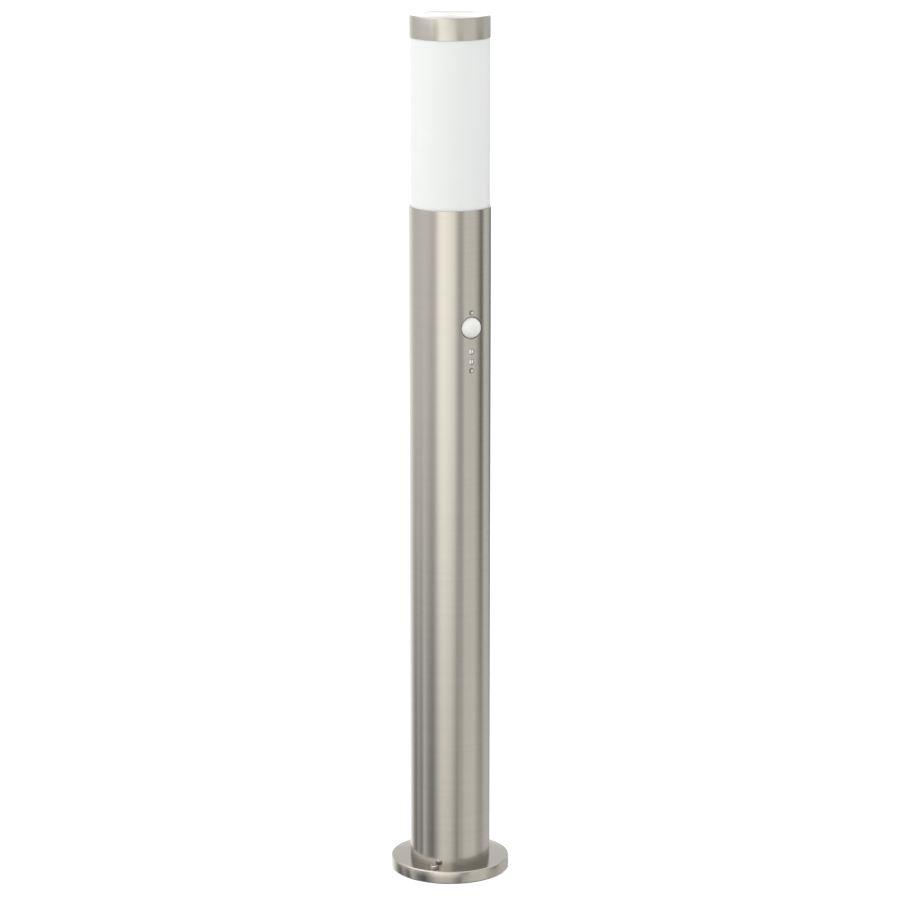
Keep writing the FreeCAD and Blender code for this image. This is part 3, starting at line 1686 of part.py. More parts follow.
def rounded_path(points):
    """Straight runs joined by tangent arcs, each as large as its two runs allow."""
    longest = number("wire_bend")
    edges, start = [], points[0]
    for before, corner, after in zip(points, points[1:], points[2:]):
        inward, outward = before - corner, after - corner
        half_turn = (math.pi - inward.getAngle(outward)) / 2
        trim = min(longest, 0.45 * min(inward.Length, outward.Length))
        radius = trim / math.tan(half_turn)
        enter = corner + Vector(inward).normalize() * trim
        leave = corner + Vector(outward).normalize() * trim
        to_centre = (Vector(inward).normalize() + Vector(outward).normalize()).normalize()
        middle = corner + to_centre * (radius / math.cos(half_turn) - radius)
        edges.append(Part.LineSegment(start, enter).toShape())
        edges.append(Part.Arc(enter, middle, leave).toShape())
        start = leave
    edges.append(Part.LineSegment(start, points[-1]).toShape())
    return Part.Wire(edges)


def make_wire(label, route):
    """A round wire along corners given as triples of expressions."""
    points = [Vector(*(number(text) for text in corner)) for corner in route]
    path = rounded_path(points)
    radius = number("wire_radius")
    along = points[1] - points[0]
    section = Part.Wire([Part.makeCircle(radius, points[0], along)])
    solid = path.makePipeShell([section], True, True)
    expected = math.pi * radius**2 * path.Length
    if abs(solid.Volume - expected) > 0.01 * expected:
        raise ValueError(f"{label} has the wrong volume")
    wire = subpart(label, DOC.addObject("Part::Feature", label))
    wire.Shape = solid
    wire.Placement = Placement()


def make_wires():
    seat, start = "clamp_axis + clamp_bore - wire_radius", "block_foot + block_height / 2"
    first_tie, last_tie = "tie_lowest", "tie_lowest + (tie_count - 1) * tie_pitch"
    for label, block_pole, side in (
        ("live_wire_lower", "-block_pole_pitch", "-"),
        ("neutral_wire_lower", "0", ""),
    ):
        beside = f"{side}wire_spacing / 2"
        board_x = f"{side}terminal_wire_offset"
        make_wire(
            label,
            [
                (block_pole, seat, start),
                (block_pole, seat, "block_top + wire_rise"),
                (beside, "wire_wall", f"{first_tie} - wire_lead"),
                (beside, "wire_wall", f"{last_tie} + wire_lead"),
                (board_x, "-(terminal_wire_y)", "housing_foot - wire_rise"),
                (board_x, "-(terminal_wire_y)", "lower_terminal_foot"),
            ],
        )
    for label, side in (("live_wire_upper", "-"), ("neutral_wire_upper", "")):
        beside = f"{side}wire_spacing / 2"
        make_wire(
            label,
            [
                (f"{side}terminal_wire_offset", "-(terminal_wire_y)", "upper_terminal_top"),
                (f"{side}terminal_wire_offset", "-(terminal_wire_y)", "housing_top + wire_drop"),
                (beside, "0", "support_under - nipple_below - wire_drop"),
                (beside, "0", "carrier_top + insert_lift"),
            ],
        )
    over = "block_top + wire_rise"
    make_wire(
        "earth_wire",
        [
            ("block_pole_pitch", seat, start),
            ("block_pole_pitch", seat, over),
            ("earth_offset", "bracket_face - lug_barrel_radius", over),
            ("earth_offset", "bracket_face - lug_barrel_radius", "earth_level + lug_radius"),
        ],
    )


def make_ties():
    bases, ties = [], []
    half_slot = "tie_slot / 2"
    bridge_half = "wire_spacing / 2 + wire_radius + tie_gap"
    strap_front = "wire_wall - wire_radius - tie_gap - tie_thickness"
    strap_back = "tie_front + tie_bridge_sheet + tie_gap + tie_thickness"
    for i in range(round(number("tie_count"))):
        level = f"tie_lowest + {i} * tie_pitch"
        foot = f"{level} - tie_base_height / 2"
        plate = common(
            f"tie_plate_{i}",
            middle_box(
                f"tie_plate_block_{i}",
                "tie_base_width",
                "tie_base_sheet",
                "tie_base_height",
                y="tie_plate_front",
                z=foot,
            ),
            cylinder(f"tie_plate_curve_{i}", "bore_radius", "tie_base_height", z=foot),
        )
        bridge = middle_box(
            f"tie_bridge_{i}",
            f"2 * ({bridge_half})",
            "tie_base_depth - tie_base_sheet",
            "tie_base_height",
            y="tie_front",
            z=foot,
        )
        slot = middle_box(
            f"tie_slot_{i}",
            "tie_base_width",
            "tie_base_depth - tie_base_sheet - tie_bridge_sheet",
            "tie_slot",
            y="tie_front + tie_bridge_sheet",
            z=f"{level} - {half_slot}",
        )
        bases.append(fuse(f"tie_base_{i}", plate, cut(f"tie_bridge_cut_{i}", bridge, slot)))
        strap_foot = f"{level} - tie_width / 2"
        loop = middle_box(
            f"tie_loop_{i}",
            f"2 * ({bridge_half} + tie_gap + tie_thickness)",
            f"{strap_back} - ({strap_front})",
            "tie_width",
            y=strap_front,
            z=strap_foot,
        )
        inside = middle_box(
            f"tie_inside_{i}",
            f"2 * ({bridge_half} + tie_gap)",
            f"{strap_back} - ({strap_front}) - 2 * tie_thickness",
            "tie_width",
            y=f"{strap_front} + tie_thickness",
            z=strap_foot,
        )
        lock = middle_box(
            f"tie_lock_{i}",
            "tie_lock_width",
            "tie_lock_depth",
            "tie_lock_height",
            y=f"{strap_front} - tie_lock_depth",
            z=f"{level} - tie_lock_height / 2",
        )
        ties.append(fuse(f"tie_{i}", cut(f"tie_strap_{i}", loop, inside), lock))
    subpart("wire_tie_bases", group("tie_base_group", *bases))
    subpart("wire_ties", group("tie_group", *ties))


# ---------------------------------------------------------------- build and export


def check_document():
    """Stops the build at the first failed feature or unsound solid."""
    for obj in DOC.Objects:
        if {"Invalid", "Error"} & set(obj.State):
            raise RuntimeError(f"{obj.Label} failed: {obj.State}")
    for label, obj in SUBPARTS.items():
        if obj.Shape.isNull() or not obj.Shape.isValid() or not obj.Shape.Solids:
            raise RuntimeError(f"{label} has no sound solid")


def export_parts():
    os.makedirs("parts", exist_ok=True)
    for label, obj in SUBPARTS.items():
        obj.Shape.exportStep(os.path.join("parts", label + ".step"))


def main():
    fill_sheet()
    for make in (
        make_gasket,
        make_mounting_plate,
        make_flange,
        make_flange_fixings,
        make_gland,
        make_bracket,
        make_terminal_block,
        make_earth_point,
        make_pole,
        make_sensor_housing,
        make_sensor_gasket,
        make_sensor_cover,
        make_dome,
        make_board,
        make_trimmers,
        make_sensor_screws,
        make_support,
        make_carrier,
        make_holder,
        make_lamp,
        make_diffuser,
        make_cap,
        make_liner,
        make_wires,
        make_ties,
    ):
        make()
    DOC.recompute()
    check_document()
    export_parts()
    print(f"{len(SUBPARTS)} sub-parts, {number('cap_top'):.1f} mm tall")


main()
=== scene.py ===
"""Looks of the bollard light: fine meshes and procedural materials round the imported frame.

Lengths are metres. The object stands on z = 0, its axis is Z and its motion sensor faces -Y.
"""

import json
import math

import bmesh
import bpy
from mathutils import Matrix, Vector


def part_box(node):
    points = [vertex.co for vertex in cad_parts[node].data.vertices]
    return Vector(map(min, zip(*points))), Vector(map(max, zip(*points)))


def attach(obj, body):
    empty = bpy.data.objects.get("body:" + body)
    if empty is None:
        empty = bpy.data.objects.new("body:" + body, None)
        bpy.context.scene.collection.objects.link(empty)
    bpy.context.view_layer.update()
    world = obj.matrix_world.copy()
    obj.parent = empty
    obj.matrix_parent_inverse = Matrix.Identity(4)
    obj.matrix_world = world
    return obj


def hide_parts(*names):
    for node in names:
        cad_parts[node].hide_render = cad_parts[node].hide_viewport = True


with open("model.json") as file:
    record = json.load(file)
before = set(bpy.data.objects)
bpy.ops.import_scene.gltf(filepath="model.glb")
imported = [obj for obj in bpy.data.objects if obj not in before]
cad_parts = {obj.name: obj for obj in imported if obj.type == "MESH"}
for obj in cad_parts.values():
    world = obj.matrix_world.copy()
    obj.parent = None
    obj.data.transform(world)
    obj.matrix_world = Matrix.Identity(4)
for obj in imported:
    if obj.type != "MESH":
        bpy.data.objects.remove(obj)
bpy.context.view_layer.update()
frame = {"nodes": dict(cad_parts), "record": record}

MM = 0.001

# Facets round a turned piece, over a rounded corner and over a ball's or a screw head's arc
RING_STEPS = 256
FLANGE_STEPS = 384
DOME_STEPS = 160
SMALL_STEPS = 96
CORNER_STEPS = 6
BALL_STEPS = 32
HEAD_STEPS = 16
# Edges sharper than this are drawn sharp, and a face this square to the radius is a round wall
SHARP_ANGLE = math.radians(40)
WALL_FACING = 0.97
# A point nearer to the axis than this lies on it
ON_AXIS = 0.0001 * MM

# Camera: a long lens, a little above the head, turned so that the sensor shows on the right.
# Its lens and its sensor's width are in millimetres.
CAMERA_AZIMUTH = math.radians(-31.5)
CAMERA_DISTANCE = 3.2
CAMERA_HEIGHT = 1.128
CAMERA_PITCH = math.radians(12.69)
CAMERA_LENS = 140.55
CAMERA_SENSOR = 36
CAMERA_RANGE = 200

# White floor: how far it goes each way, and how much it glows so that it stays white
FLOOR_REACH = 60
FLOOR_GLOW = 0.3

# Sizes that only the fine meshes have
EDGE = 0.25 * MM
POLE_WALL = 1 * MM
CUTTER_LENGTH = 60 * MM
FLANGE_EDGE = 1.1 * MM
FLANGE_FOOT_EDGE = 0.3 * MM
FLANGE_WALL = 1.2 * MM
CAP_EDGE = 0.9 * MM
CAP_WALL = 0.5 * MM
STUD_RADIUS = 2 * MM
STUD_BELOW_NUT = 3.5 * MM
DIFFUSER_WALL = 2 * MM
DOME_RADIUS = 9.7 * MM
DOME_WALL = 0.8 * MM
DOME_FLANGE = 1 * MM
DOME_WINDOW = 10.7 * MM
SENSOR_SCREW_SHANK = 1.45 * MM
SENSOR_SCREW_REACH = 8 * MM
FLANGE_SCREW_HEAD = 4.9 * MM
FLANGE_SCREW_SHANK = 2.45 * MM
FLANGE_SCREW_REACH = 7.5 * MM
FLANGE_SCREW_TURN = math.radians(20)
# A screw head's straight rim, as a share of its height, and its cross, as shares of its radius
HEAD_RIM = 0.22
CROSS_WIDTH = 0.22
CROSS_LENGTH = 0.95
# Painted shade darkens a screw head towards its rim: it starts and is full at these shares of its
# radius
PAINTED_SHADE_START, PAINTED_SHADE_FULL = 0.5, 0.82
TRIMMER_HOLE = 2.8 * MM
KNOB_STEM = 1.6 * MM
KNOB_STEM_LENGTH = 2.5 * MM
KNOB_FOOT_EDGE = 0.2 * MM
KNOB_FACE_EDGE = 0.35 * MM
KNOB_SLOT = 0.9 * MM
KNOB_SLOT_HEIGHT = 2.2 * MM

# The studio's walls, screens and soft boxes. Each row is a bearing, in degrees to the right of the
# camera's side, and the light that the head, the pole's middle and its foot mirror from there.
SIDE_LIGHT = (
    (-180, 1.0, 1.0, 1.05),  # rear wall
    (-150, 0.9, 1.1, 1.15),
    (-125, 0.7, 0.8, 0.3),
    (-115, 0.7, 0.75, 0.15),  # low screen at the left
    (-105, 0.7, 0.75, 0.4),
    (-90, 0.75, 0.8, 0.15),  # second low screen
    (-80, 0.75, 0.8, 0.6),  # left wall
    (-65, 0.75, 0.8, 0.2),
    (-52, 0.9, 0.65, 0.1),  # screen beside the soft box
    (-43, 0.7, 0.8, 0.3),
    (-35, 0.85, 1.25, 0.45),
    (-28, 1.2, 1.45, 0.6),  # large soft box
    (-18, 1.3, 1.55, 0.65),
    (0, 1.15, 1.4, 0.6),
    (12, 1.05, 1.25, 0.35),
    (20, 0.85, 0.8, 0.25),  # camera's side
    (27, 0.8, 0.4, 0.55),
    (34, 0.8, 0.4, 0.6),
    (43, 0.8, 0.8, 0.7),  # right wall
    (72, 0.8, 0.75, 0.75),
    (82, 0.6, 0.6, 0.6),
    (90, 0.6, 0.3, 0.55),
    (98, 0.6, 0.05, 0.55),  # dark doorway
    (105, 0.6, 0.3, 0.55),
    (115, 0.6, 0.75, 0.6),
    (135, 0.6, 0.6, 0.65),
    (155, 0.55, 0.15, 0.5),
    (180, 1.0, 1.0, 1.05),
)
# The same for the light from above the horizon: low, a little higher, and from 36 degrees up
UPPER_LIGHT = (
    (-180, 1.5, 0.7, 1.0),  # rear wall
    (-160, 1.5, 0.7, 1.0),
    (-148, 1.5, 0.3, 1.0),
    (-130, 1.8, 0.3, 1.0),
    (-112, 2.2, 0.3, 2.2),  # soft box hung on the left
    (-32, 2.2, 0.3, 2.2),
    (-24, 1.6, 0.8, 1.3),  # large soft box
    (0, 1.0, 0.7, 1.0),
    (12, 0.75, 0.3, 1.0),  # right wall
    (105, 0.75, 0.3, 1.0),
    (125, 1.5, 0.3, 1.0),
    (148, 1.5, 0.3, 1.0),
    (160, 1.5, 0.7, 1.0),
    (180, 1.5, 0.7, 1.0),
)
# Elevations, in degrees, between which one light passes into the next, from the lowest up
SIDE_HEIGHTS = ((-18, -12), (-8, -5.5))
UPPER_HEIGHTS = ((2.5, 4.5), (11, 15), (30, 36))
OVERHEAD = (60, 66)
OVERHEAD_LIGHT = 1.1
# Tint of the lamps towards the camera and on the right, and the bearings that they cover
WHITE = (1.0, 1.0, 1.0)
WARM = (1.0, 1.0, 0.95)
WARM_FROM, WARM_TO = -45, 110
# Light that falls on matt surfaces: its level, and how much more comes from the left and above
SOFT_LIGHT = (1.24, 0.05, 0.2)


# ---------------------------------------------------------------- places


def corners(node):
    low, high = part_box(node)
    return Vector(low), Vector(high)


def middle(node):
    low, high = corners(node)
    return (low + high) / 2


def level(node, top=False):
    low, high = corners(node)
    return high.z if top else low.z


def half_width(node):
    low, high = corners(node)
    return (high.x - low.x) / 2


# ---------------------------------------------------------------- meshes


def link(name, mesh):
    piece = bpy.data.objects.new(name, mesh)
    bpy.context.scene.collection.objects.link(piece)
    return piece


def soften(profile):
    """A closed outline of (radius, height, rounding) with each rounded corner drawn as an arc."""
    drawn = []
    count = len(profile)
    for i, (radius, height, rounding) in enumerate(profile):
        corner = Vector((radius, height))
        if rounding == 0:
            drawn.append(corner)
            continue
        back = Vector(profile[i - 1][:2]) - corner
        ahead = Vector(profile[(i + 1) % count][:2]) - corner
        half = back.angle(ahead) / 2
        trim = rounding / math.tan(half)
        inward = (back.normalized() + ahead.normalized()).normalized()
        centre = corner + inward * (rounding / math.sin(half))
        start = corner + back.normalized() * trim - centre
        end = corner + ahead.normalized() * trim - centre
        sweep = start.angle_signed(end)
        for step in range(CORNER_STEPS + 1):
            arm = start.copy()
            arm.rotate(Matrix.Rotation(-sweep * step / CORNER_STEPS, 2))
            drawn.append(centre + arm)
    return drawn


def lathe(name, profile, steps=RING_STEPS):
    """A piece turned about Z from a closed outline of (radius, height, rounding)."""
    shape = bmesh.new()
    rings = []
    for radius, height in soften(profile):
        if abs(radius) < ON_AXIS:
            rings.append([shape.verts.new((0, 0, height))])
            continue
        turns = [2 * math.pi * k / steps for k in range(steps)]
        places = [(radius * math.cos(turn), radius * math.sin(turn), height) for turn in turns]
        rings.append([shape.verts.new(place) for place in places])
    for here, following in zip(rings, rings[1:] + rings[:1]):
        if len(here) == 1 and len(following) == 1:
            continue
        for k in range(steps):
            after = (k + 1) % steps
            loop = [here[k % len(here)], following[k % len(following)]]
            loop += [following[after % len(following)], here[after % len(here)]]
            shape.faces.new(list(dict.fromkeys(loop)))
    bmesh.ops.recalc_face_normals(shape, faces=shape.faces)
    return smooth(link(name, finished(name, shape)))


def finished(name, shape):
    """The mesh of a shape that is done with."""
    mesh = bpy.data.meshes.new(name)
    shape.to_mesh(mesh)
    shape.free()
    return mesh


def smooth(piece):
    piece.data.polygons.foreach_set("use_smooth", [True] * len(piece.data.polygons))
    piece.data.set_sharp_from_angle(angle=SHARP_ANGLE)
    return piece


def block(name, size, centre):
    """A box that cuts a slot."""
    shape = bmesh.new()
    place = Matrix.Translation(centre) @ Matrix.Diagonal((*size, 1))
    bmesh.ops.create_cube(shape, size=1, matrix=place)
    return link(name, finished(name, shape))


def turned_to_front(piece, place):
    """Points the piece's own +Z at -Y and puts its foot at place."""
    piece.data.transform(Matrix.Translation(place) @ Matrix.Rotation(math.pi / 2, 4, "X"))
    return piece


def carve(piece, cutters):
    """Cuts the cutters out of the piece and removes them."""
    for cutter in cutters:
        step = piece.modifiers.new(cutter.name, "BOOLEAN")
        step.object = cutter
        step.operation = "DIFFERENCE"
        step.solver = "EXACT"
    graph = bpy.context.evaluated_depsgraph_get()
    carved = bpy.data.meshes.new_from_object(piece.evaluated_get(graph))
    piece.modifiers.clear()
    piece.data = carved
    for cutter in cutters:
        bpy.data.objects.remove(cutter)


def round_wall(piece):
    """True round shading on the walls that a cut has left in uneven faces."""
    mesh = piece.data
    normals = [Vector(corner.vector) for corner in mesh.corner_normals]
    for face in mesh.polygons:
        out = Vector((face.center.x, face.center.y, 0)).normalized()
        facing = face.normal.dot(out)
        if abs(facing) < WALL_FACING:
            continue
        for index in face.loop_indices:
            place = mesh.vertices[mesh.loops[index].vertex_index].co
            normals[index] = Vector((place.x, place.y, 0)).normalized() * math.copysign(1, facing)
    mesh.normals_split_custom_set(normals)


def join(name, pieces):
    """Several meshes made one piece."""
    shape = bmesh.new()
    for piece in pieces:
        shape.from_mesh(piece.data)
        bpy.data.objects.remove(piece)
    return smooth(link(name, finished(name, shape)))


def dress(piece, body, slot, node):
    """Gives a piece its body and material, in the place of a CAD node."""
    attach(piece, body)
    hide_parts(node)
    piece.data.materials.clear()
    piece.data.materials.append(MATERIALS[slot])


# ---------------------------------------------------------------- materials


STEEL = (0.61, 0.582, 0.53)
# Brushed steel: breaks in its lines per metre, its coarse lines and the fine lines' share
LINE_BREAKS = 14
COARSE_LINES = 0.16
FINE_SHARE = 0.7


class Nodes:
    """Short calls for a material's or the world's node tree."""

    def __init__(self, owner):
        owner.use_nodes = True
        self.tree = owner.node_tree
        self.tree.nodes.clear()

    def add(self, kind, **settings):
        node = self.tree.nodes.new(kind)
        inputs = settings.pop("inputs", {})
        for name, value in settings.items():
            setattr(node, name, value)
        self.feed([node.inputs[name] for name in inputs], inputs.values())
        return node

    def feed(self, sockets, values):
        """Links or sets each socket, as its value is a socket or a constant."""
        for socket, value in zip(sockets, values):
            if isinstance(value, bpy.types.NodeSocket):
                self.tree.links.new(value, socket)
            else:
                socket.default_value = value

    def math(self, operation, first, second=0.0):
        node = self.add("ShaderNodeMath", operation=operation)
        self.feed(node.inputs, (first, second))
        return node.outputs[0]

    def blend(self, factor, first, second):
        node = self.add("ShaderNodeMix", data_type="RGBA")
        self.feed((node.inputs[0], node.inputs[6], node.inputs[7]), (factor, first, second))
        return node.outputs[2]

    def along(self, vector, axis):
        node = self.add("ShaderNodeVectorMath", operation="DOT_PRODUCT")
        self.feed(node.inputs, (vector, axis))
        return node.outputs["Value"]

    def joined(self, kind, first, second, third):
        """A vector or a colour made of three values."""
        node = self.add(kind)
        self.feed(node.inputs, (first, second, third))
        return node.outputs[0]

    def ramp(self, factor, stops):
        node = self.add("ShaderNodeValToRGB", inputs={"Fac": factor})
        elements = node.color_ramp.elements
        while len(elements) > 1:
            elements.remove(elements[-1])
        elements[0].position, elements[0].color = stops[0][0], stops[0][1]
        for position, colour in stops[1:]:
            elements.new(position).color = colour
        return node.outputs["Color"]

    def shades(self, factor, colour, first, last, start=0.3, end=0.7):
        """A colour that runs from one shade of itself to another."""
        return self.ramp(factor, [(start, shade(colour, first)), (end, shade(colour, last))])

    def noise(self, vector, scale, detail=2.0, roughness=0.5):
        wanted = {"Vector": vector, "Scale": scale, "Detail": detail, "Roughness": roughness}
        return self.add("ShaderNodeTexNoise", inputs=wanted).outputs["Fac"]

    def spread(self, factor, low, high):
        wanted = {"Value": factor, "To Min": low, "To Max": high}
        return self.add("ShaderNodeMapRange", inputs=wanted).outputs["Result"]

    def place(self):
        return self.add("ShaderNodeTexCoord").outputs["Object"]

    def stretched(self, scale):
        wanted = {"Vector": self.place(), "Scale": scale}
        return self.add("ShaderNodeMapping", inputs=wanted).outputs["Vector"]

    def surface(self, **inputs):
        shader = self.add("ShaderNodeBsdfPrincipled", inputs=inputs)
        self.add("ShaderNodeOutputMaterial", inputs={"Surface": shader.outputs["BSDF"]})

    def bump(self, height, depth, strength=1.0):
        wanted = {"Height": height, "Distance": depth, "Strength": strength}
        return self.add("ShaderNodeBump", inputs=wanted).outputs["Normal"]


def shade(colour, factor):
    return (*(part * factor for part in colour), 1)


def material(name):
    made = bpy.data.materials.new(name)
    return made, Nodes(made)


def brushed(name, colour, rough=(0.13, 0.17), lines=2600):
    """Steel brushed round the axis: lines along the ring on walls and on flat tops alike."""
    made, nodes = material(name)
    parts = nodes.add("ShaderNodeSeparateXYZ", inputs={"Vector": nodes.place()})
    x, y, z = parts.outputs
    square = nodes.math("ADD", nodes.math("MULTIPLY", x, x), nodes.math("MULTIPLY", y, y))
    reach = nodes.math("SQRT", square)
    across = nodes.math("MULTIPLY", nodes.math("ADD", z, reach), lines)
    along_x = nodes.math("MULTIPLY", x, LINE_BREAKS)
    along_y = nodes.math("MULTIPLY", y, LINE_BREAKS)
    fine_place = nodes.joined("ShaderNodeCombineXYZ", along_x, along_y, across)
    fine = nodes.noise(fine_place, 1.0, 3.0, 0.6)
    wide = nodes.math("MULTIPLY", across, COARSE_LINES)
    coarse_place = nodes.joined("ShaderNodeCombineXYZ", along_x, along_y, wide)
    coarse = nodes.noise(coarse_place, 1.0, 2.0, 0.5)
    fine = nodes.math("MULTIPLY", fine, FINE_SHARE)
    both = nodes.math("ADD", fine, nodes.math("MULTIPLY", coarse, 1 - FINE_SHARE))
    stops = [(0.2, shade(colour, 0.94)), (0.5, shade(colour, 1.0)), (0.8, shade(colour, 1.05))]
    nodes.surface(
        **{
            "Base Color": nodes.ramp(both, stops),
            "Metallic": 1.0,
            "Roughness": nodes.spread(both, *rough),
            "Anisotropic": 0.85,
            "Anisotropic Rotation": 0.25,
            "Tangent": nodes.add("ShaderNodeTangent", direction_type="RADIAL", axis="Z").outputs[0],
            "Normal": nodes.bump(both, 0.002 * MM),
        }
    )
    return made


def plain_metal(name, colour, rough=(0.18, 0.32), grain=900):
    """Plated or machined metal: a fine even grain and slightly uneven gloss."""
    made, nodes = material(name)
    grains = nodes.noise(nodes.place(), grain, 3.0)
    cloud = nodes.noise(nodes.place(), grain / 12, 2.0)
    nodes.surface(
        **{
            "Base Color": nodes.shades(cloud, colour, 0.9, 1.06),
            "Metallic": 1.0,
            "Roughness": nodes.spread(grains, *rough),
            "Normal": nodes.bump(grains, 0.01 * MM),
        }
    )
    return made


def screw_head(name, colour, painted_shade_colour):
    """Polished screw steel, with painted shade that darkens it round the head's edge."""
    made, nodes = material(name)
    grains = nodes.noise(nodes.place(), 1500, 3.0)
    # Painted shade: the head darkens towards its rim; grain noise is added, and the sum sets colour
    # and roughness
    painted_rim_shade = nodes.add("ShaderNodeAttribute", attribute_name="painted_rim_shade").outputs["Fac"]
    shading = nodes.math("ADD", painted_rim_shade, nodes.spread(grains, -0.12, 0.12))
    nodes.surface(
        **{
            "Base Color": nodes.ramp(shading, [(0.1, shade(colour, 1)), (0.9, shade(painted_shade_colour, 1))]),
            "Metallic": 1.0,
            "Roughness": nodes.spread(shading, 0.12, 0.4),
            "Normal": nodes.bump(grains, 0.005 * MM),
        }
    )
    return made


def moulded(name, colour, rough=(0.34, 0.46), grain=1400, depth=0.012 * MM):
    """Moulded plastic or rubber: a fine skin texture with faint clouds in its colour."""
    made, nodes = material(name)
    skin = nodes.noise(nodes.place(), grain, 4.0, 0.6)
    cloud = nodes.noise(nodes.place(), 45, 2.0)
    nodes.surface(
        **{
            "Base Color": nodes.shades(cloud, colour, 0.96, 1.03),
            "Roughness": nodes.spread(skin, *rough),
            "Normal": nodes.bump(skin, depth),
        }
    )
    return made


def striped(name, colour, stripe, pitch=4.5 * MM):
    """Earth wire: insulation in two colours."""
    made, nodes = material(name)
    parts = nodes.add("ShaderNodeSeparateXYZ", inputs={"Vector": nodes.place()})
    wave = nodes.math("SINE", nodes.math("MULTIPLY", parts.outputs["X"], 2 * math.pi / pitch))
    nodes.surface(
        **{
            "Base Color": nodes.ramp(wave, [(0.45, shade(colour, 1)), (0.55, shade(stripe, 1))]),
            "Roughness": nodes.spread(nodes.noise(nodes.place(), 1200), 0.35, 0.45),
        }
    )
    return made


def circuit(name, colour, track):
    """Circuit board: solder mask with faint tracks."""
    made, nodes = material(name)
    grid = nodes.add(
        "ShaderNodeTexBrick",
        inputs={
            "Vector": nodes.stretched((1, 0.001, 1)),
            "Scale": 260.0,
            "Color1": shade(colour, 1.0),
            "Color2": shade(colour, 1.25),
            "Mortar": shade(track, 1.0),
        },
    )
    nodes.surface(
        **{
            "Base Color": grid.outputs["Color"],
            "Roughness": nodes.spread(nodes.noise(nodes.place(), 800), 0.25, 0.4),
        }
    )
    return made


def faceted(name, colour):
    """Heat sensor's lens: milky plastic with a faint honeycomb of small lenses."""
    made, nodes = material(name)
    wanted = {"Vector": nodes.place(), "Scale": 420.0}
    cells = nodes.add("ShaderNodeTexVoronoi", inputs=wanted).outputs["Distance"]
    skin = nodes.noise(nodes.place(), 1500, 3.0)
    nodes.surface(
        **{
            "Base Color": nodes.shades(cells, colour, 1.0, 0.95, start=0.0, end=0.9),
            "Roughness": nodes.spread(skin, 0.3, 0.4),
            "Specular IOR Level": 0.35,
            "Subsurface Weight": 0.25,
            "Subsurface Radius": (0.004, 0.004, 0.004),
            "Subsurface Scale": 0.5,
            "Normal": nodes.bump(cells, 0.02 * MM, 0.6),
        }
    )
    return made


def opal(name, colour):
    """Opal tube: even white with a soft gloss, and a trace of the drawing lines along it."""
    made, nodes = material(name)
    drawn = nodes.noise(nodes.stretched((260, 260, 3)), 1.0, 2.0)
    cloud = nodes.noise(nodes.place(), 30, 2.0)
    nodes.surface(
        **{
            "Base Color": nodes.shades(cloud, colour, 0.985, 1.0),
            "Roughness": nodes.spread(drawn, 0.26, 0.33),
            "Specular IOR Level": 0.25,
            "Subsurface Weight": 0.3,
            "Subsurface Radius": (0.01, 0.01, 0.01),
            "Subsurface Scale": 0.6,
            "Normal": nodes.bump(drawn, 0.008 * MM),
        }
    )
    return made


MATERIALS = {
    "pole_steel": brushed("pole_steel", STEEL),
    "flange_steel": brushed("flange_steel", STEEL, lines=2200, rough=(0.11, 0.15)),
    "cap_steel": brushed("cap_steel", STEEL),
    # The second colour is the painted shade at the screw heads' rims
    "screw_steel": screw_head("screw_steel", (0.84, 0.82, 0.78), (0.27, 0.26, 0.245)),
    "zinc_steel": plain_metal("zinc_steel", (0.58, 0.59, 0.58), rough=(0.28, 0.42), grain=420),
    "brass": plain_metal("brass", (0.72, 0.5, 0.2)),
    "tinned_copper": plain_metal("tinned_copper", (0.7, 0.69, 0.66)),
    "opal_plastic": opal("opal_plastic", (0.83, 0.845, 0.84)),
    "frosted_plastic": moulded("frosted_plastic", (0.64, 0.64, 0.62), rough=(0.42, 0.52)),
    "lens_plastic": faceted("lens_plastic", (0.8, 0.8, 0.785)),
    "trimmer_plastic": moulded("trimmer_plastic", (0.72, 0.675, 0.655), rough=(0.3, 0.4)),
    "white_plastic": moulded("white_plastic", (0.58, 0.58, 0.56)),
    "holder_plastic": moulded("holder_plastic", (0.52, 0.52, 0.485), rough=(0.25, 0.35)),
    "grey_plastic": moulded("grey_plastic", (0.2, 0.21, 0.22)),
    "black_plastic": moulded("black_plastic", (0.02, 0.02, 0.021)),
    "black_rubber": moulded("black_rubber", (0.018, 0.018, 0.018), rough=(0.6, 0.78), grain=700),
    "foam": moulded("foam", (0.035, 0.035, 0.036), rough=(0.8, 0.95), grain=2600, depth=0.1 * MM),
    "green_board": circuit("green_board", (0.02, 0.13, 0.05), (0.05, 0.2, 0.08)),
    "green_plastic": moulded("green_plastic", (0.05, 0.3, 0.08)),
    "capacitor_plastic": moulded("capacitor_plastic", (0.04, 0.1, 0.3), rough=(0.22, 0.32)),
    "light_board": circuit("light_board", (0.6, 0.6, 0.57), (0.5, 0.5, 0.47)),
    "live_insulation": moulded("live_insulation", (0.16, 0.06, 0.025), rough=(0.32, 0.42)),
    "neutral_insulation": moulded("neutral_insulation", (0.02, 0.1, 0.4), rough=(0.32, 0.42)),
    "earth_insulation": striped("earth_insulation", (0.08, 0.42, 0.06), (0.75, 0.68, 0.05)),
}
for entry in frame["record"]["subparts"]:
    for shading in frame["nodes"][entry["node"]].material_slots:
        shading.material = MATERIALS[entry["material_slot"]]


# ---------------------------------------------------------------- pieces


def build_pole():
    foot, top = level("pole_tube"), level("pole_tube", top=True)
    outside = half_width("pole_tube")
    inside = outside - POLE_WALL
    pole = lathe("pole_fine", tube(outside, inside, foot, top))
    cutters = [hole_bar("window_cutter", DOME_WINDOW, middle("sensor_dome").z)]
    for trimmer in ("time_trimmer", "lux_trimmer"):
        cutters.append(hole_bar(trimmer + "_cutter", TRIMMER_HOLE, middle(trimmer).z))
    carve(pole, cutters)
    smooth(pole)
    round_wall(pole)
    dress(pole, "pole", "pole_steel", "pole_tube")


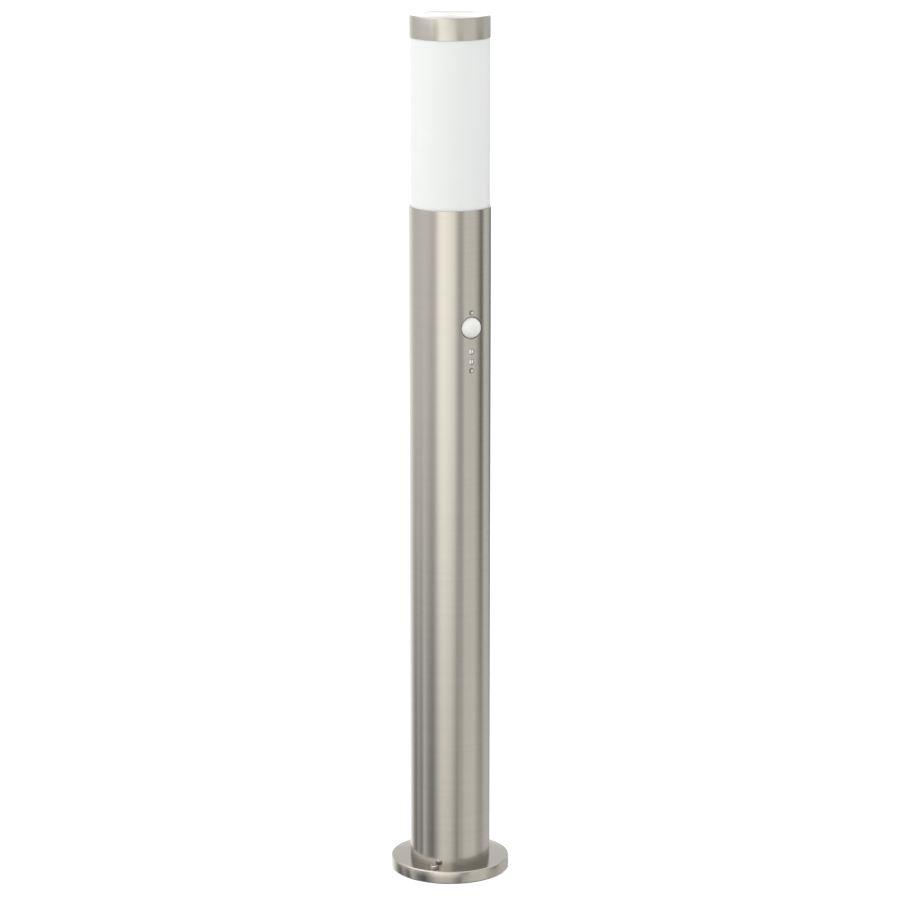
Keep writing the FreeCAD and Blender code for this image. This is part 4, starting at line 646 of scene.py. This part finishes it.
def tube(outside, inside, foot, top):
    """The outline of a tube with eased edges."""
    ring = [(outside, foot), (outside, top), (inside, top), (inside, foot)]
    return [(radius, height, EDGE) for radius, height in ring]


def hole_bar(name, radius, height):
    """A bar that cuts a round hole in the pole's front."""
    outline = [(0, 0, 0), (radius, 0, 0), (radius, CUTTER_LENGTH, 0), (0, CUTTER_LENGTH, 0)]
    return turned_to_front(lathe(name, outline, SMALL_STEPS), (0, 0, height))


def build_flange():
    foot, top = level("base_flange"), level("base_flange", top=True)
    outside, pole = half_width("base_flange"), half_width("pole_tube")
    inside, under = outside - FLANGE_WALL, top - FLANGE_WALL
    outline = [
        (outside, foot, FLANGE_FOOT_EDGE),
        (outside, top, FLANGE_EDGE),
        (pole, top, 0),
        (pole, under, 0),
        (inside, under, FLANGE_FOOT_EDGE),
        (inside, foot, FLANGE_FOOT_EDGE),
    ]
    flange = lathe("flange_fine", outline, FLANGE_STEPS)
    dress(flange, "pole", "flange_steel", "base_flange")


def build_cap():
    foot, top = level("top_cap"), level("top_cap", top=True)
    plate = level("cap_liner", top=True)
    stud_foot = level("cap_nut") - STUD_BELOW_NUT
    outside = half_width("top_cap")
    inside = outside - CAP_WALL
    outline = [
        (inside, foot + EDGE, 0),
        (inside + CAP_WALL / 2, foot, 0),
        (outside, foot + EDGE, 0),
        (outside, top, CAP_EDGE),
        (0, top, 0),
        (0, stud_foot, 0),
        (STUD_RADIUS, stud_foot, EDGE),
        (STUD_RADIUS, plate, 0),
        (inside, plate, CAP_EDGE - CAP_WALL),
    ]
    dress(lathe("cap_fine", outline), "head", "cap_steel", "top_cap")


def build_diffuser():
    foot, top = level("diffuser"), level("diffuser", top=True)
    outside = half_width("diffuser")
    diffuser = lathe("diffuser_fine", tube(outside, outside - DIFFUSER_WALL, foot, top))
    dress(diffuser, "head", "opal_plastic", "diffuser")


def build_dome():
    """The lens: a half ball on a short neck, with its flange behind the pole's wall."""
    low, high = corners("sensor_dome")
    seat, flange = high.y, (high.x - low.x) / 2
    depth = seat - (low.y + DOME_RADIUS)
    inside = DOME_RADIUS - DOME_WALL
    outline = [(flange, 0, 0), (flange, DOME_FLANGE, 0), (DOME_RADIUS, DOME_FLANGE, 0)]
    outline += half_ball(DOME_RADIUS, depth) + half_ball(inside, depth)[::-1] + [(inside, 0, 0)]
    dome = lathe("dome_fine", outline, DOME_STEPS)
    turned_to_front(dome, (0, seat, (low.z + high.z) / 2))
    dress(dome, "pole", "lens_plastic", "sensor_dome")


def half_ball(radius, foot):
    turns = [math.pi / 2 * k / BALL_STEPS for k in range(BALL_STEPS)]
    arc = [(radius * math.cos(turn), foot + radius * math.sin(turn), 0) for turn in turns]
    return arc + [(0, foot + radius, 0)]


def pan_head(name, radius, dome, shank, reach):
    """A domed screw standing on z = 0 with a cross recess."""
    rim = dome * HEAD_RIM
    outline = [(0, -reach, 0), (shank, -reach, 0), (shank, 0, 0), (radius, 0, 0), (radius, rim, 0)]
    for step in range(1, HEAD_STEPS):
        turn = math.pi / 2 * step / HEAD_STEPS
        outline.append((radius * math.cos(turn), rim + (dome - rim) * math.sin(turn), 0))
    screw = lathe(name, outline + [(0, dome, 0)], SMALL_STEPS)
    width, length = radius * CROSS_WIDTH, radius * CROSS_LENGTH
    place = (0, 0, dome)
    bars = [
        block(name + "_a", (length, width, dome), place),
        block(name + "_b", (width, length, dome), place),
    ]
    carve(screw, bars)
    # Painted shade: a value per point that darkens the head more towards its rim
    painted_rim_shade = screw.data.attributes.new("painted_rim_shade", "FLOAT", "POINT")
    for vertex, value in zip(screw.data.vertices, painted_rim_shade.data):
        share = math.hypot(vertex.co.x, vertex.co.y) / radius
        value.value = min(max((share - PAINTED_SHADE_START) / (PAINTED_SHADE_FULL - PAINTED_SHADE_START), 0), 1)
    return screw


def build_sensor_screws():
    low, high = corners("sensor_screws")
    radius, face = (high.x - low.x) / 2, -half_width("pole_tube")
    sizes = radius, face - low.y, SENSOR_SCREW_SHANK, SENSOR_SCREW_REACH
    heads = []
    for which, height in (("upper", high.z - radius), ("lower", low.z + radius)):
        head = pan_head("sensor_screw_" + which, *sizes)
        heads.append(turned_to_front(head, (0, face, height)))
    dress(join("sensor_screws_fine", heads), "pole", "screw_steel", "sensor_screws")


def build_flange_screws():
    low, high = corners("flange_screws")
    radius, seat = FLANGE_SCREW_HEAD, level("base_flange", top=True)
    sizes = radius, high.z - seat, FLANGE_SCREW_SHANK, FLANGE_SCREW_REACH
    heads = []
    for which, place, inward in (("front", low, radius), ("back", high, -radius)):
        head = pan_head("flange_screw_" + which, *sizes)
        turn = Matrix.Rotation(FLANGE_SCREW_TURN, 4, "Z")
        spot = Matrix.Translation((place.x + inward, place.y + inward, seat))
        head.data.transform(spot @ turn)
        heads.append(head)
    dress(join("flange_screws_fine", heads), "pole", "screw_steel", "flange_screws")


def build_trimmers():
    for node, body in (("time_trimmer", "time_knob"), ("lux_trimmer", "lux_knob")):
        low, high = corners(node)
        radius, length = (high.x - low.x) / 2, high.y - low.y
        outline = [
            (0, 0, 0),
            (KNOB_STEM, 0, 0),
            (KNOB_STEM, KNOB_STEM_LENGTH, 0),
            (radius, KNOB_STEM_LENGTH, KNOB_FOOT_EDGE),
            (radius, length, KNOB_FACE_EDGE),
            (0, length, 0),
        ]
        knob = lathe(node + "_fine", outline, SMALL_STEPS)
        slot = (KNOB_SLOT, 3 * radius, KNOB_SLOT_HEIGHT)
        carve(knob, [block(node + "_slot", slot, (0, 0, length))])
        turned_to_front(knob, (0, high.y, (low.z + high.z) / 2))
        dress(smooth(knob), body, "trimmer_plastic", node)


build_pole()
build_flange()
build_cap()
build_diffuser()
build_dome()
build_sensor_screws()
build_flange_screws()
build_trimmers()


# ---------------------------------------------------------------- floor, light and camera


def build_floor():
    """White paper that shows in no reflection."""
    shape = bmesh.new()
    bmesh.ops.create_grid(shape, x_segments=1, y_segments=1, size=FLOOR_REACH)
    floor = link("floor", finished("floor", shape))
    floor.visible_glossy = False
    floor.visible_diffuse = False
    made, nodes = material("floor_paper")
    grain = nodes.noise(nodes.place(), 300)
    nodes.surface(
        **{
            "Base Color": nodes.shades(grain, WHITE, 0.9, 0.92),
            "Roughness": 0.9,
            "Specular IOR Level": 0.0,
            "Emission Color": shade(WHITE, 1),
            "Emission Strength": FLOOR_GLOW,
        }
    )
    floor.data.materials.append(made)


def ring_light(nodes, turn, table, column):
    """The light all round at one height."""
    stops = []
    for row in table:
        tint = WARM if WARM_FROM <= row[0] <= WARM_TO else WHITE
        stops.append(((row[0] + 180) / 360, shade(tint, row[column])))
    return nodes.ramp(turn, stops)


def build_world():
    """A round studio: soft boxes and dark screens, with even light for matt surfaces."""
    world = bpy.data.worlds.new("studio")
    bpy.context.scene.world = world
    nodes = Nodes(world)
    ray = nodes.add("ShaderNodeTexCoord").outputs["Generated"]
    sine, cosine = math.sin(CAMERA_AZIMUTH), math.cos(CAMERA_AZIMUTH)
    rightward = nodes.along(ray, (cosine, sine, 0))
    nearward = nodes.along(ray, (sine, -cosine, 0))
    upward = nodes.along(ray, (0, 0, 1))
    bearing = nodes.math("ARCTAN2", rightward, nearward)
    turn = nodes.math("ADD", nodes.math("MULTIPLY", bearing, 1 / (2 * math.pi)), 0.5)
    rise = nodes.math("MULTIPLY", nodes.math("ARCSINE", upward), 180 / math.pi)

    def between(low, high):
        wanted = {"Value": rise, "From Min": low, "From Max": high}
        return nodes.add("ShaderNodeMapRange", inputs=wanted).outputs["Result"]

    light = ring_light(nodes, turn, SIDE_LIGHT, 3)
    for heights, table, column in (
        (SIDE_HEIGHTS[0], SIDE_LIGHT, 2),
        (SIDE_HEIGHTS[1], SIDE_LIGHT, 1),
        (UPPER_HEIGHTS[0], UPPER_LIGHT, 1),
        (UPPER_HEIGHTS[1], UPPER_LIGHT, 2),
        (UPPER_HEIGHTS[2], UPPER_LIGHT, 3),
    ):
        light = nodes.blend(between(*heights), light, ring_light(nodes, turn, table, column))
    light = nodes.blend(between(*OVERHEAD), light, shade(WHITE, OVERHEAD_LIGHT))
    even, left, above = SOFT_LIGHT
    soft = nodes.math("SUBTRACT", even, nodes.math("MULTIPLY", rightward, left))
    soft = nodes.math("ADD", soft, nodes.math("MULTIPLY", upward, above))
    path = nodes.add("ShaderNodeLightPath")
    scattered, passed = path.outputs["Is Diffuse Ray"], path.outputs["Is Transmission Ray"]
    matt = nodes.math("MAXIMUM", scattered, passed)
    light = nodes.blend(matt, light, nodes.joined("ShaderNodeCombineColor", soft, soft, soft))
    light = nodes.blend(path.outputs["Is Camera Ray"], light, shade(WHITE, 1))
    lit = nodes.add("ShaderNodeBackground", inputs={"Color": light, "Strength": 1.0})
    nodes.add("ShaderNodeOutputWorld", inputs={"Surface": lit.outputs[0]})


def build_camera():
    camera = bpy.data.objects.new("camera", bpy.data.cameras.new("camera"))
    bpy.context.scene.collection.objects.link(camera)
    camera.data.lens = CAMERA_LENS
    camera.data.sensor_width = CAMERA_SENSOR
    camera.data.clip_end = CAMERA_RANGE
    out = Matrix.Rotation(CAMERA_AZIMUTH, 3, "Z") @ Vector((0, -CAMERA_DISTANCE, 0))
    camera.location = (out.x, out.y, CAMERA_HEIGHT)
    camera.rotation_euler = (math.pi / 2 - CAMERA_PITCH, 0, CAMERA_AZIMUTH)
    bpy.context.scene.camera = camera


build_floor()
build_world()
build_camera()
bpy.context.scene.view_settings.view_transform = "Standard"
